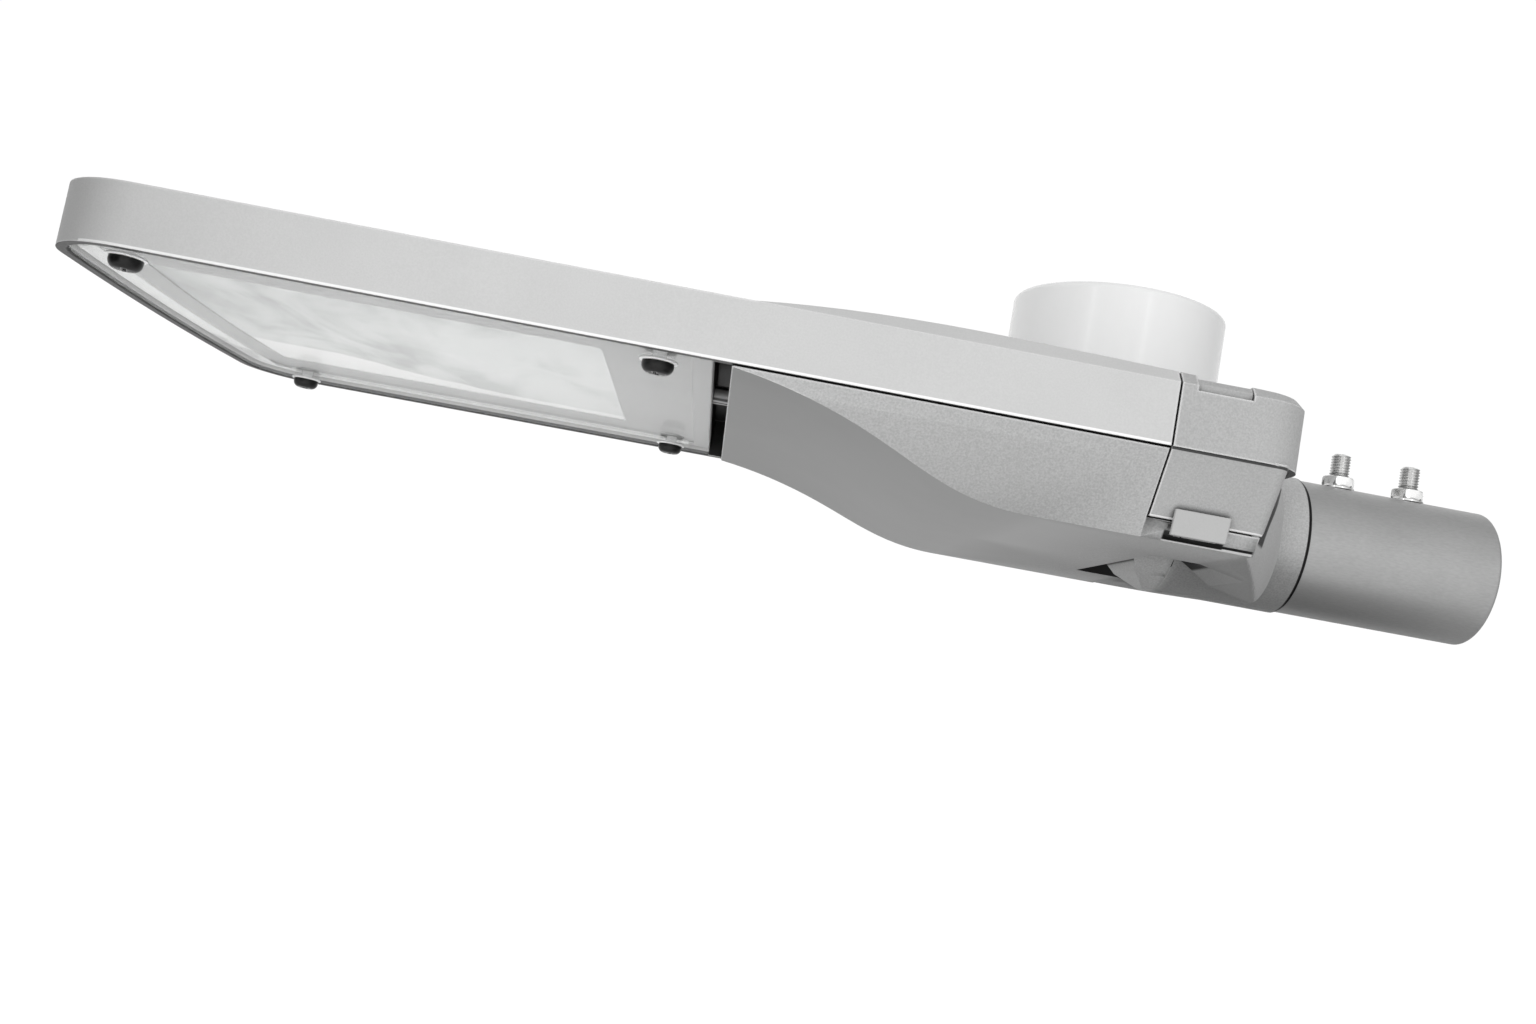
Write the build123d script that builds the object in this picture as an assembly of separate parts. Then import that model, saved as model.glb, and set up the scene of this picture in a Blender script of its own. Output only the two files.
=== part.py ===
from build123d import *
import math
import os

# LED street light head. The spigot's mouth is the origin, the mast leaves along +X,
# the head reaches out along -X, Y runs across it and Z is up. Sizes are millimetres.

# Reach of the trimming cuts to each side, up and down, past every face
far = 200.0
high = 80.0
low = -60.0

# Plan of the head
front_x = -694.0             # middle of the bowed front edge
front_bow = 5.5              # how far the bow falls back at its two ends
half_width_front = 159.4
half_width_rear = 155.2
front_corner_radius = 38.0
hood_rear_x = -152.0
hood_corner_radius = 20.0

# Side band and the low bevelled deck above it
band_bottom_z = 11.2
band_height = 27.4
deck_start_x = -394.0
deck_crown_x = -300.0
deck_height = 6.9
deck_rear_height = 3.6
deck_corner_radius = 9.0
deck_bevel_angle = 45.0

# Canopy casting
rim_width = 4.2
roof_thickness = 4.6
ledge_width = 13.0
bay_rear_x = -406.4
bay_wall = 5.6
slot_width = 8.1
canopy_wall = 5.2

# Glass, what lies behind it and its screws
glass_thickness = 4.0
glass_gap = 0.8
glass_sink = 0.2             # how far the glass lies above the band's lower edge
gasket_thickness = 1.0
bezel_thickness = 0.8
window_front_x = -665.0
window_rear_x = -457.5
window_half_width = 107.0
window_bow = 4.0
diffuser_thickness = 2.0
diffuser_margin = 6.0
diffuser_clip_margin = 40.0
diffuser_clip_width = 8.0
glass_screw_front = (-655.5, 18.102)   # place, and distance in from the side
glass_screw_rear = (-430.0, 26.354)
glass_screw_radius = 3.0
glass_screw_head_radius = 7.6
glass_screw_head_height = 4.2
glass_washer_radius = 8.8
glass_washer_thickness = 1.0
glass_hole_gap = 0.3         # round the screws, in the glass, gasket and bezel
washer_hole_gap = 0.2
screw_fit = 0.05             # screw shank smaller than its hole
screw_boss_wall = 3.5
recess_width = 1.6
recess_depth = 2.4
recess_share = 0.55          # reach of the cross recess as a share of the head
gasket_inset = 1.0
gasket_width = 10.0
gasket_eye_radius = 7.5
sheet_end_gap = 0.6
clip_thickness = 1.0
clip_reach = 5.0
clip_foot = 7.0

# LED boards
board_thickness = 1.6
board_length = 88.0
board_half_width = 104.0
board_gap = 12.0
led_size = 3.5
led_height = 0.9
led_rows = 5
led_columns = 12
board_screw_radius = 1.5
board_screw_inset = 5.0
board_screw_head_radius = 2.85
board_screw_head_height = 1.8
led_border_x = 11.0
led_border_y = 13.0

# Gear housing casting
joint_gap = 0.8              # dark line between the band and the housing
side_inset = 1.6
side_draft = 33.4
belly_z = -25.6
belly_start_x = bay_rear_x + slot_width
belly_turn_x = -330.0
belly_turn_z = -7.6
belly_flat_x = -262.0
housing_wall = 4.0
upstand_height = 6.5
upstand_wall = 4.0
upstand_gap = 0.5
housing_rear_x = -164.0
tray_margin = 26.7
tray_half_width = half_width_rear - tray_margin
tray_top_z = 4.0
strip_top_z = -17.5

# Seam between the fixed castings and the opening hood
seam_x = -211.7
seam_gap = 1.0

# Neck, collar and spigot tube
tube_radius = 35.0
tube_length = 100.0
mast_bore_radius = 30.5
mast_bore_depth = 95.0
shank_radius = 31.0
shank_bore_radius = 24.0
shank_fit = 0.05
collar_radius = 35.9
collar_joint = 0.6
collar_back_wall = 4.0
cable_hole_radius = 18.0
neck_margin = 24.2
neck_half_width = half_width_rear - neck_margin
neck_waist_x = -137.0
neck_waist_half_width = 84.0
neck_root_top_z = 9.6
neck_root_radius = 6.0
neck_step = 3.0              # how far behind the hood the neck may rise
neck_waist_low_z = -31.0
neck_waist_top_z = 21.0
neck_waist_radius = 23.0
neck_end_x = -114.0
neck_end_sink = 1.4
neck_end_corner_radius = 32.0
tube_rim_radius = 2.0

# Pocket and lug under the neck
pocket_front_x = -188.0
pocket_half_width = 69.0
pocket_roof_z = -16.5
pocket_slope_x = -170.0
pocket_end_x = -141.0
pocket_end_z = -30.5
lug_root = (-189.0, -154.0, 36.0, -14.0)
lug_waist = (-180.0, -164.5, 19.0, -29.0)
lug_tip = (-170.5, -160.0, 4.0, -36.2)

# Set screws on the tube
set_screw_places = (-75.0, -37.5)
set_screw_radius = 5.0
set_screw_top_z = 53.0
set_screw_socket_radius = 2.9
set_screw_socket_depth = 5.0
lock_nut_width = 15.0
lock_nut_height = 6.5
lock_nut_flange_radius = 8.4
lock_nut_flange_height = 2.0
spot_face_z = 34.4

# Collar grub screws
grub_x = -128.0
grub_angle = 32.0
grub_radius = 4.0
grub_length = 5.5
grub_socket_radius = 2.3
grub_socket_depth = 1.5

# Rubber grommet behind the spigot, with one hole for each cable
grommet_length = 8.0
grommet_offset = 2.0
grommet_holes = ((9.0, 5.0), (-9.0, 4.0))

# Rear hood
hood_wall = 3.4
skirt_bottom_z = -16.7
skirt_rear_x = -159.5
skirt_wall = 3.4
skirt_return = 3.0
hood_cavity_top_z = 38.2
arch_clearance = 1.6
skirt_corner_radius = 5.0
skirt_neck_gap = 2.8         # between the neck's side and the skirt

# Hood hinge
hinge_x = -264.0
hinge_knuckle_radius = 5.0
hinge_pin_radius = 2.5
hinge_pin_fit = 0.06
hinge_pin_length = 160.0
tongue_half_width = 66.0
tongue_gap = 1.0
tongue_thickness = 5.0

# Shoulder blocks
block_front_x = -204.0
block_rear_x = -180.5
block_sink = 1.9
block_depth = 9.0
block_bottom_z = 36.6
block_gap = 0.3

# Side latches
latch_front_x = -201.8
latch_rear_x = -177.2
latch_top_z = -12.4
latch_bottom_z = -23.4
latch_tilt = 15.0
latch_thickness = 2.2
latch_stand_off = 0.5
latch_knuckle_radius = 1.7
latch_pin_radius = 1.0
latch_pin_fit = 0.05
latch_ear_width = 2.6
latch_ear_inset = 3.2
latch_ear_gap = 0.3
latch_recess_gap = 0.4
latch_recess_height = 3.2    # above the pivot
latch_edge_radius = 0.8

# Photocell and its receptacle
cell_x = -204.4
cell_radius = 55.0
cell_top_z = 106.8
cell_wall = 2.5
cell_rim_radius = 3.0
cell_skirt_gap = 1.0
cell_base_thickness = 3.0
cell_base_fit = 0.05         # base smaller than the cap's inside, to each side
pad_radius = 43.0
pad_z = 46.4
receptacle_radius = 31.0
receptacle_depth = 24.0
receptacle_flange_radius = 39.0
receptacle_flange_thickness = 4.0
receptacle_gasket_thickness = 1.2
receptacle_fit = 0.4
seal_thickness = 1.6
seal_gap = 0.3
blade_circle_radius = 17.0
blade_thickness = 1.8
blade_arc = 22.0
blade_depth = 11.0
blade_gap = 0.8
twist_range = 30.0
slot_spare_angle = 8.0
contact_thickness = 0.8
receptacle_screw_radius = 1.5
receptacle_screw_head_radius = 3.0
receptacle_screw_head_height = 0.9
receptacle_screw_depth = 6.0
cell_collar_radius = 30.0
cell_collar_wall = 3.0
cell_collar_height = 22.0
seal_outer_radius = 29.0
seal_inner_radius = 23.0

# Gear inside the housing
driver_size = (66.0, 150.0, 29.0)
driver_x = -311.0
driver_tab = 9.0
driver_tab_half = 14.0
driver_tab_thickness = 2.5
driver_edge = 4.0
driver_screw_radius = 2.0
driver_screw_head_radius = 3.8
driver_screw_head_height = 2.5
surge_size = (42.0, 36.0, 24.0)
surge_x = -246.0
surge_side_gap = 2.5
terminal_place = (-234.0, 62.0)
terminal_pitch = 12.0
terminal_ways = 5
terminal_height = 16.0
terminal_half_depth = 11.0
terminal_bar_half = 6.0
terminal_gap = 1.2
terminal_wire_radius = 2.6
terminal_screw_radius = 2.4
terminal_screw_depth = 3.0
terminal_end = 9.0
terminal_end_reach = 5.0
clamp_x = -176.0
clamp_span = 34.0
clamp_half_width = 5.0
clamp_height = 5.0
clamp_cable_radius = 6.5
clamp_cable_drop = 3.0
conduit_radius = 4.8
conduit_place = (-10.0, 22.0)
seal_strip_height = 2.2
boss_radius = 4.0
boss_height = 3.0
boss_hole_radius = 1.9
foot_thickness = 3.0
foot_hole_radius = 2.1
floor_screw_head_radius = 3.6
floor_screw_head_height = 2.4
surge_foot = 10.0
surge_screw_inset = 5.0
conduit_wall = 1.4
conduit_reach = 6.0
conduit_fit = 0.05

# Values worked out from the ones above
band_top_z = band_bottom_z + band_height
roof_z = band_top_z - roof_thickness
glass_z = band_bottom_z + glass_sink
glass_top_z = glass_z + glass_thickness
bezel_z = glass_top_z + gasket_thickness
ledge_z = bezel_z + bezel_thickness
housing_top_z = band_bottom_z - joint_gap
housing_seam_x = seam_x - seam_gap / 2
hood_seam_x = seam_x + seam_gap / 2
collar_end_x = -tube_length - collar_joint
bore_back_x = housing_rear_x + collar_back_wall
housing_floor_z = belly_z + housing_wall


def half_width(x):
    """Half the width of the band at x; the plan narrows a little toward the mast."""
    share = (x - front_x) / (hood_rear_x - front_x)
    return half_width_front + (half_width_rear - half_width_front) * share


def plan_outline(inset, rear_x, rear_radius):
    """Face of the plan, drawn inset from the outside, with a bowed front."""
    side_front_x = front_x + front_bow + inset
    front_half = half_width(side_front_x) - inset
    rear_half = half_width(rear_x) - inset
    bow = ThreePointArc((side_front_x, -front_half), (front_x + inset, 0), (side_front_x, front_half))
    far_side = Line(bow @ 1, (rear_x, rear_half))
    rear_side = Line(far_side @ 1, (rear_x, -rear_half))
    near_side = Line(rear_side @ 1, bow @ 0)
    face = make_face(Curve() + [bow, far_side, rear_side, near_side])
    face = fillet(face.vertices().sort_by(Axis.X)[:2], front_corner_radius - inset)
    if rear_radius > 0:
        face = fillet(face.vertices().sort_by(Axis.X)[-2:], rear_radius)
    return face


def raised(face, z, height):
    """Upright prism on a plan face."""
    return extrude(Plane.XY.offset(z) * face, amount=height)


def block(x0, x1, y0, y1, z0, z1):
    """Box between six planes."""
    return Pos((x0 + x1) / 2, (y0 + y1) / 2, (z0 + z1) / 2) * Box(x1 - x0, y1 - y0, z1 - z0)


def upright(x, y, z0, z1, radius):
    """Cylinder along Z."""
    return Pos(x, y, (z0 + z1) / 2) * Cylinder(radius, z1 - z0)


def along_x(x0, x1, y, z, radius):
    """Cylinder along X."""
    return Pos((x0 + x1) / 2, y, z) * Rot(0, 90, 0) * Cylinder(radius, x1 - x0)


def along_y(x, y0, y1, z, radius):
    """Cylinder along Y."""
    return Pos(x, (y0 + y1) / 2, z) * Rot(90, 0, 0) * Cylinder(radius, y1 - y0)


def side_profile(edges):
    """Slab across the whole width; its side view, drawn as x and z, is the closed outline."""
    face = Plane.XZ * make_face(Curve() + edges)
    return extrude(face, amount=half_width_front + 20, both=True)


def both_sides(shape):
    """The shape and its mirror image across the middle plane."""
    return [shape, mirror(shape, about=Plane.XZ)]


# Upper form: one outside shape that the seam splits into canopy and hood
def deck_rear_z():
    return band_top_z + deck_rear_height


def upper_form():
    outline = plan_outline(0, hood_rear_x, hood_corner_radius)
    band = raised(outline, band_bottom_z, band_height)
    rise_z = deck_height + 2
    inset = rise_z / math.tan(math.radians(deck_bevel_angle))
    shrunk = plan_outline(inset, hood_rear_x - inset, hood_corner_radius - inset)
    foot = Plane.XY.offset(band_top_z) * outline
    head = Plane.XY.offset(band_top_z + rise_z) * shrunk
    bevel = loft([foot.face(), head.face()], ruled=True)
    top_z = band_top_z + deck_height
    low_z = band_bottom_z - 1
    rise = Spline((deck_start_x, band_top_z), (deck_crown_x, top_z), tangents=[(1, 0.16), (1, 0)])
    fall_end = (hood_rear_x - deck_corner_radius, deck_rear_z())
    fall = Spline(rise @ 1, fall_end, tangents=[(1, 0), (1, -0.04)])
    corner_centre = (hood_rear_x - deck_corner_radius, deck_rear_z() - deck_corner_radius)
    corner = CenterArc(corner_centre, deck_corner_radius, 90, -90)
    ends = [
        Line(corner @ 1, (hood_rear_x, low_z)),
        Line((hood_rear_x, low_z), (front_x - 5, low_z)),
        Line((front_x - 5, low_z), (front_x - 5, band_top_z)),
        Line((front_x - 5, band_top_z), rise @ 0),
    ]
    return (band + bevel) & side_profile([rise, fall, corner] + ends)


# Lower form: drafted sides cut to the S-curved underside
def side_face(x, z):
    """Distance of the slanted side from the middle plane."""
    return half_width(x) - side_inset - (housing_top_z - z) * math.tan(math.radians(side_draft))


def drafted_sides(inset, top_z):
    """Prism between the two slanted sides, which are moved in by inset."""
    front = belly_start_x - 60
    rear = skirt_rear_x + 60
    levels = []
    for z in (top_z, belly_z - 4):
        front_half = side_face(front, z) - inset
        rear_half = side_face(rear, z) - inset
        corners = [(front, -front_half), (front, front_half), (rear, rear_half), (rear, -rear_half)]
        levels.append((Plane.XY.offset(z) * make_face(Polyline(*corners, close=True))).face())
    return loft(levels, ruled=True)


def underside_slab(lift, x0, x1):
    """Everything above the S-curved underside, which is raised by lift."""
    start = (belly_start_x, housing_top_z - 0.5 + lift)
    turn = (belly_turn_x, belly_turn_z + lift)
    flat = (belly_flat_x, belly_z + lift)
    curve = Spline(start, turn, flat, tangents=[(1, -0.12), (1, 0)])
    top = band_top_z + 20
    run = Line(flat, (0, belly_z + lift))
    up = Line(run @ 1, (0, top))
    back = Line(up @ 1, (belly_start_x - 30, top))
    down = Line(back @ 1, (belly_start_x - 30, housing_top_z - 0.5 + lift))
    lead = Line(down @ 1, start)
    return side_profile([curve, run, up, back, down, lead]) & block(x0, x1, -far, far, low, top)


def canopy(upper):
    body = upper & block(front_x - 5, housing_seam_x, -far, far, 0, high)
    body -= raised(plan_outline(rim_width, bay_rear_x, 0), 0, ledge_z)
    body -= raised(plan_outline(rim_width + ledge_width, bay_rear_x - bay_wall, 6), 0, roof_z)
    gear_half = half_width(bay_rear_x) - canopy_wall
    rear_half = half_width(housing_seam_x) - canopy_wall
    gear_plan = make_face(Polyline(
        (bay_rear_x, -gear_half), (bay_rear_x, gear_half),
        (housing_seam_x + 5, rear_half), (housing_seam_x + 5, -rear_half), close=True))
    body -= raised(gear_plan, 0, roof_z)
    notch_half = tongue_half_width + tongue_gap
    notch_front = hinge_x - hinge_knuckle_radius - tongue_gap
    body -= block(notch_front, 0, -notch_half, notch_half, roof_z - 1, high)
    body -= along_y(hinge_x, -hinge_pin_length / 2 - 0.5, hinge_pin_length / 2 + 0.5, hinge_z(),
                    hinge_pin_radius + hinge_pin_fit)
    for x, y in glass_screw_spots():
        body += upright(x, y, ledge_z, roof_z + 1, glass_screw_radius + screw_boss_wall) & upper
        body -= upright(x, y, glass_z - 5, roof_z, glass_screw_radius)
    body -= along_x(bay_rear_x - bay_wall - 1, bay_rear_x + 1, *conduit_place, conduit_radius + conduit_fit)
    return body


def hinge_z():
    return band_top_z + deck_height - 0.4 - hinge_knuckle_radius


def glass_screw_spots():
    spots = []
    for x, margin in (glass_screw_front, glass_screw_rear):
        spots += [(x, side * (half_width(x) - margin)) for side in (-1, 1)]
    return spots


# Optical bay
def front_glass():
    pane = plan_outline(rim_width + glass_gap, bay_rear_x, 1.5)
    body = raised(pane, glass_z, glass_thickness)
    edges = body.edges().group_by(Axis.Z)[0]
    body = chamfer(edges, 0.8)
    for x, y in glass_screw_spots():
        body -= upright(x, y, 0, roof_z, glass_screw_radius + glass_hole_gap)
    return body


def glass_gasket():
    inset = rim_width + glass_gap + gasket_inset
    inner = plan_outline(inset + gasket_width, bay_rear_x - gasket_width, 4)
    body = raised(plan_outline(inset, bay_rear_x - sheet_end_gap, 1.5) - inner, glass_top_z, gasket_thickness)
    for x, y in glass_screw_spots():
        edge = math.copysign(half_width(x) - inset - 6, y)
        body += upright(x, y, glass_top_z, bezel_z, gasket_eye_radius)
        body += block(x - 5, x + 5, min(y, edge), max(y, edge), glass_top_z, bezel_z)
        body -= upright(x, y, 0, roof_z, glass_screw_radius + glass_hole_gap)
    return body


def window_plan(margin):
    """The see-through window, bowed at its front like the head."""
    front = window_front_x + window_bow - margin
    half = window_half_width + margin
    bow = ThreePointArc((front, -half), (window_front_x - margin, 0), (front, half))
    far_side = Line(bow @ 1, (window_rear_x + margin, half))
    rear_side = Line(far_side @ 1, (window_rear_x + margin, -half))
    near_side = Line(rear_side @ 1, bow @ 0)
    return make_face(Curve() + [bow, far_side, rear_side, near_side])


def bezel_plate():
    inset = rim_width + glass_gap + gasket_inset
    sheet = plan_outline(inset, bay_rear_x - sheet_end_gap, 1.5) - window_plan(0)
    body = raised(sheet, bezel_z, bezel_thickness)
    for x, y in glass_screw_spots():
        body -= upright(x, y, 0, roof_z, glass_screw_radius + glass_hole_gap)
    return body


def diffuser_sheet():
    return raised(window_plan(diffuser_margin), ledge_z, diffuser_thickness)


def diffuser_clips():
    """Small spring clips that hold the sheet down on the bezel."""
    clips = []
    half = window_half_width + diffuser_margin
    sheet_top = ledge_z + diffuser_thickness
    first = window_front_x + diffuser_clip_margin
    last = window_rear_x - diffuser_clip_margin
    for x in (first, (first + last) / 2, last):
        ends = (x - diffuser_clip_width / 2, x + diffuser_clip_width / 2)
        foot = block(*ends, half, half + clip_foot, ledge_z, ledge_z + clip_thickness)
        riser = block(*ends, half, half + clip_thickness, ledge_z, sheet_top + clip_thickness)
        finger = block(*ends, half - clip_reach, half + clip_thickness, sheet_top, sheet_top + clip_thickness)
        clips += both_sides(foot + riser + finger)
    return clips


def board_centres():
    middle = (window_front_x + window_rear_x) / 2
    step = (board_length + board_gap) / 2
    return [middle - step, middle + step]


def board_screw_spots(x):
    reach_x = board_length / 2 - board_screw_inset
    reach_y = board_half_width - board_screw_inset
    return [(x + sx * reach_x, sy * reach_y) for sx in (-1, 1) for sy in (-1, 1)]


def led_board(x):
    body = block(x - board_length / 2, x + board_length / 2, -board_half_width, board_half_width,
                 roof_z - board_thickness, roof_z)
    for sx, sy in board_screw_spots(x):
        body -= upright(sx, sy, 0, roof_z, board_screw_radius + washer_hole_gap)
    return body


def led_packages(x):
    solids = []
    top = roof_z - board_thickness
    pitch_x = (board_length - 2 * led_border_x) / (led_rows - 1)
    pitch_y = 2 * (board_half_width - led_border_y) / (led_columns - 1)
    for row in range(led_rows):
        for column in range(led_columns):
            cx = x + (row - (led_rows - 1) / 2) * pitch_x
            cy = (column - (led_columns - 1) / 2) * pitch_y
            solids.append(block(cx - led_size / 2, cx + led_size / 2, cy - led_size / 2, cy + led_size / 2,
                                top - led_height, top))
    return solids


def board_screws():
    solids = []
    under = roof_z - board_thickness
    for x in board_centres():
        for sx, sy in board_screw_spots(x):
            head = upright(sx, sy, under - board_screw_head_height, under, board_screw_head_radius)
            solids.append(head + upright(sx, sy, under, roof_z, board_screw_radius))
    return solids


def pan_screw(x, y, seat_z, tip_z):
    """Pan-head screw seen from below, with a cross recess."""
    head = upright(x, y, seat_z - glass_screw_head_height, seat_z, glass_screw_head_radius)
    low = head.edges().sort_by(Axis.Z)[0]
    head = fillet(low, glass_screw_head_height * 0.62)
    reach = glass_screw_head_radius * recess_share
    bottom = seat_z - glass_screw_head_height
    half = recess_width / 2
    slot = block(x - reach, x + reach, y - half, y + half, bottom - 1, bottom + recess_depth)
    head -= slot
    head -= Pos(x, y, 0) * Rot(0, 0, 90) * Pos(-x, -y, 0) * slot
    return head + upright(x, y, seat_z, tip_z, glass_screw_radius - screw_fit)


def glass_screws():
    seat = glass_z - glass_washer_thickness
    return [pan_screw(x, y, seat, roof_z - 2) for x, y in glass_screw_spots()]


def glass_washers():
    rings = []
    for x, y in glass_screw_spots():
        ring = upright(x, y, glass_z - glass_washer_thickness, glass_z, glass_washer_radius)
        rings.append(ring - upright(x, y, 0, roof_z, glass_screw_radius + washer_hole_gap))
    return rings


# Gear housing
def housing_shell():
    rear_end = housing_rear_x + 2
    outer = drafted_sides(0, housing_top_z) & underside_slab(0, belly_start_x, rear_end)
    cavity = drafted_sides(housing_wall, housing_top_z) & underside_slab(
        housing_wall, belly_start_x + housing_wall, housing_seam_x - housing_wall)
    front_half = half_width(belly_start_x) - canopy_wall - upstand_gap
    rear_half = half_width(housing_seam_x) - canopy_wall - upstand_gap
    rim_plan = make_face(Polyline(
        (belly_start_x, -front_half), (belly_start_x, front_half),
        (housing_seam_x, rear_half), (housing_seam_x, -rear_half), close=True))
    rim_top = housing_top_z + upstand_height
    upstand = raised(rim_plan, belly_z, rim_top - belly_z)
    upstand = upstand & underside_slab(0, belly_start_x, housing_seam_x)
    well_plan = offset(rim_plan, -upstand_wall, kind=Kind.INTERSECTION)
    well = raised(well_plan, belly_z, high) & underside_slab(housing_wall, belly_start_x, housing_seam_x)
    above = block(belly_start_x - 20, 0, -far, far, housing_top_z - 0.1, high)
    well = well & (drafted_sides(housing_wall, housing_top_z) + above)
    front_wall = block(belly_start_x, belly_start_x + housing_wall, -front_half, front_half,
                       housing_top_z, roof_z - upstand_gap)
    return (outer + upstand) - cavity - well + front_wall


def tray_cut():
    """What the hood's skirt and its space take away behind the seam."""
    space = block(housing_seam_x, 0, -far, far, strip_top_z, high)
    core = block(housing_seam_x - 1, housing_rear_x + 2, -tray_half_width, tray_half_width, low, tray_top_z)
    return space - core


def neck_section(x, half, low_z, top_z, radius):
    outline = RectangleRounded(2 * half, top_z - low_z, radius)
    return (Plane.YZ.offset(x) * Pos(0, (low_z + top_z) / 2) * outline).face()


def neck_flare():
    """Body of the neck, from the tray's full width down to the round collar."""
    root = neck_section(housing_rear_x, neck_half_width, belly_z, neck_root_top_z, neck_root_radius)
    waist = neck_section(neck_waist_x, neck_waist_half_width, neck_waist_low_z, neck_waist_top_z,
                         neck_waist_radius)
    end_width = 2 * (collar_radius - neck_end_sink)
    end = Plane.YZ.offset(neck_end_x) * RectangleRounded(end_width, end_width, neck_end_corner_radius)
    under_hood = block(housing_rear_x - 1, hood_rear_x + neck_step, -far, far, neck_root_top_z, high)
    return loft([root, waist, end.face()]) - under_hood


def lug():
    def level(values):
        x0, x1, half, z = values
        return Pos((x0 + x1) / 2, 0, z) * Rectangle(x1 - x0, 2 * half)
    upper_part = loft([level(lug_root).face(), level(lug_waist).face()], ruled=True)
    lower_part = loft([level(lug_waist).face(), level(lug_tip).face()], ruled=True)
    return upper_part + lower_part


def neck_pocket():
    corners = [
        (pocket_front_x, belly_z - 20), (pocket_front_x, pocket_roof_z),
        (pocket_slope_x, pocket_roof_z), (pocket_end_x, pocket_end_z),
        (pocket_end_x, belly_z - 20),
    ]
    face = Plane.XZ * make_face(Polyline(*corners, close=True))
    return extrude(face, amount=pocket_half_width, both=True)


def gear_housing():
    body = housing_shell()
    body -= tray_cut()
    tray_well = block(housing_seam_x - housing_wall - 1, housing_rear_x - housing_wall,
                      -tray_half_width + housing_wall, tray_half_width - housing_wall, housing_floor_z, high)
    body -= tray_well
    roof_top = pocket_roof_z + housing_wall
    body += block(pocket_front_x - housing_wall, housing_rear_x, -pocket_half_width - housing_wall,
                  pocket_half_width + housing_wall, belly_z, roof_top)
    body += neck_flare()
    body -= neck_pocket()
    body += along_x(housing_rear_x, collar_end_x, 0, 0, collar_radius)
    body += lug()
    body -= along_x(bore_back_x, 0, 0, 0, shank_radius + shank_fit)
    above_roof = block(housing_rear_x - 20, 0, -far, far, roof_top, high)
    body -= along_x(housing_rear_x - 20, 0, 0, 0, cable_hole_radius) & above_roof
    for spot in grub_spots():
        body -= spot * Pos(0, 0, collar_radius) * Cylinder(grub_radius, 14)
    for side in (-1, 1):
        body -= latch_recess(side)
        body += latch_ears(side)
    for x, y in terminal_screw_spots() + clamp_screw_spots() + surge_screw_spots():
        body += upright(x, y, boss_root(x, y), boss_top(x, y), boss_radius)
        body -= upright(x, y, boss_root(x, y) + 1, boss_top(x, y), boss_hole_radius)
    body -= along_x(belly_start_x - 1, belly_start_x + housing_wall + 1, *conduit_place,
                    conduit_radius + conduit_fit)
    return body


def boss_root(x, y):
    """Where the boss starts, a little inside the floor that it stands on."""
    if (x, y) in clamp_screw_spots():
        return pocket_roof_z + housing_wall - 1
    return housing_floor_z - 1


def boss_top(x, y):
    """Height of the screw boss under a fixed piece of gear."""
    return boss_root(x, y) + 1 + boss_height


# Spigot
def spigot_tube():
    body = along_x(-tube_length, 0, 0, 0, tube_radius)
    body = fillet(body.edges().filter_by(GeomType.CIRCLE).sort_by(Axis.X)[-1], tube_rim_radius)
    body += along_x(bore_back_x + 0.3, -tube_length, 0, 0, shank_radius)
    body -= along_x(-mast_bore_depth, 1, 0, 0, mast_bore_radius)
    body -= along_x(bore_back_x, 0, 0, 0, shank_bore_radius)
    for x in set_screw_places:
        body -= upright(x, 0, spot_face_z, high, lock_nut_flange_radius + 0.8)
        body -= upright(x, 0, 0, high, set_screw_radius + screw_fit)
    return body


def set_screws():
    solids = []
    for x in set_screw_places:
        body = upright(x, 0, mast_bore_radius + 0.3, set_screw_top_z, set_screw_radius)
        body = chamfer(body.edges().group_by(Axis.Z)[-1], 0.8)
        hexagon = Pos(x, 0) * RegularPolygon(set_screw_socket_radius, 6)
        socket_plane = Plane.XY.offset(set_screw_top_z - set_screw_socket_depth)
        solids.append(body - extrude(socket_plane * hexagon, amount=set_screw_socket_depth + 1))
    return solids


def lock_nuts():
    solids = []
    for x in set_screw_places:
        flange = upright(x, 0, spot_face_z, spot_face_z + lock_nut_flange_height, lock_nut_flange_radius)
        hexagon = Pos(x, 0) * RegularPolygon(lock_nut_width / math.sqrt(3), 6)
        nut = extrude(Plane.XY.offset(spot_face_z) * hexagon, amount=lock_nut_height)
        nut += flange
        solids.append(nut - upright(x, 0, 0, high, set_screw_radius + 0.02))
    return solids


def grub_spots():
    return [Pos(grub_x, 0, 0) * Rot(s * grub_angle, 0, 0) for s in (-1, 1)]


def grub_screws():
    solids = []
    for spot in grub_spots():
        middle = shank_radius + grub_length / 2 + 0.1
        screw = Cylinder(grub_radius - screw_fit / 2, grub_length)
        hexagon = RegularPolygon(grub_socket_radius, 6)
        socket = Pos(0, 0, grub_length / 2 - grub_socket_depth) * extrude(hexagon, amount=3)
        solids.append(spot * Pos(0, 0, middle) * (screw - socket))
    return solids


def cable_grommet():
    """Rubber disc with two cable holes, pressed into the spigot's inner bore."""
    x0 = bore_back_x + grommet_offset
    x1 = x0 + grommet_length
    body = along_x(x0, x1, 0, 0, shank_bore_radius)
    for y, radius in grommet_holes:
        body -= along_x(x0 - 1, x1 + 1, y, 0, radius)
    return body


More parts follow.
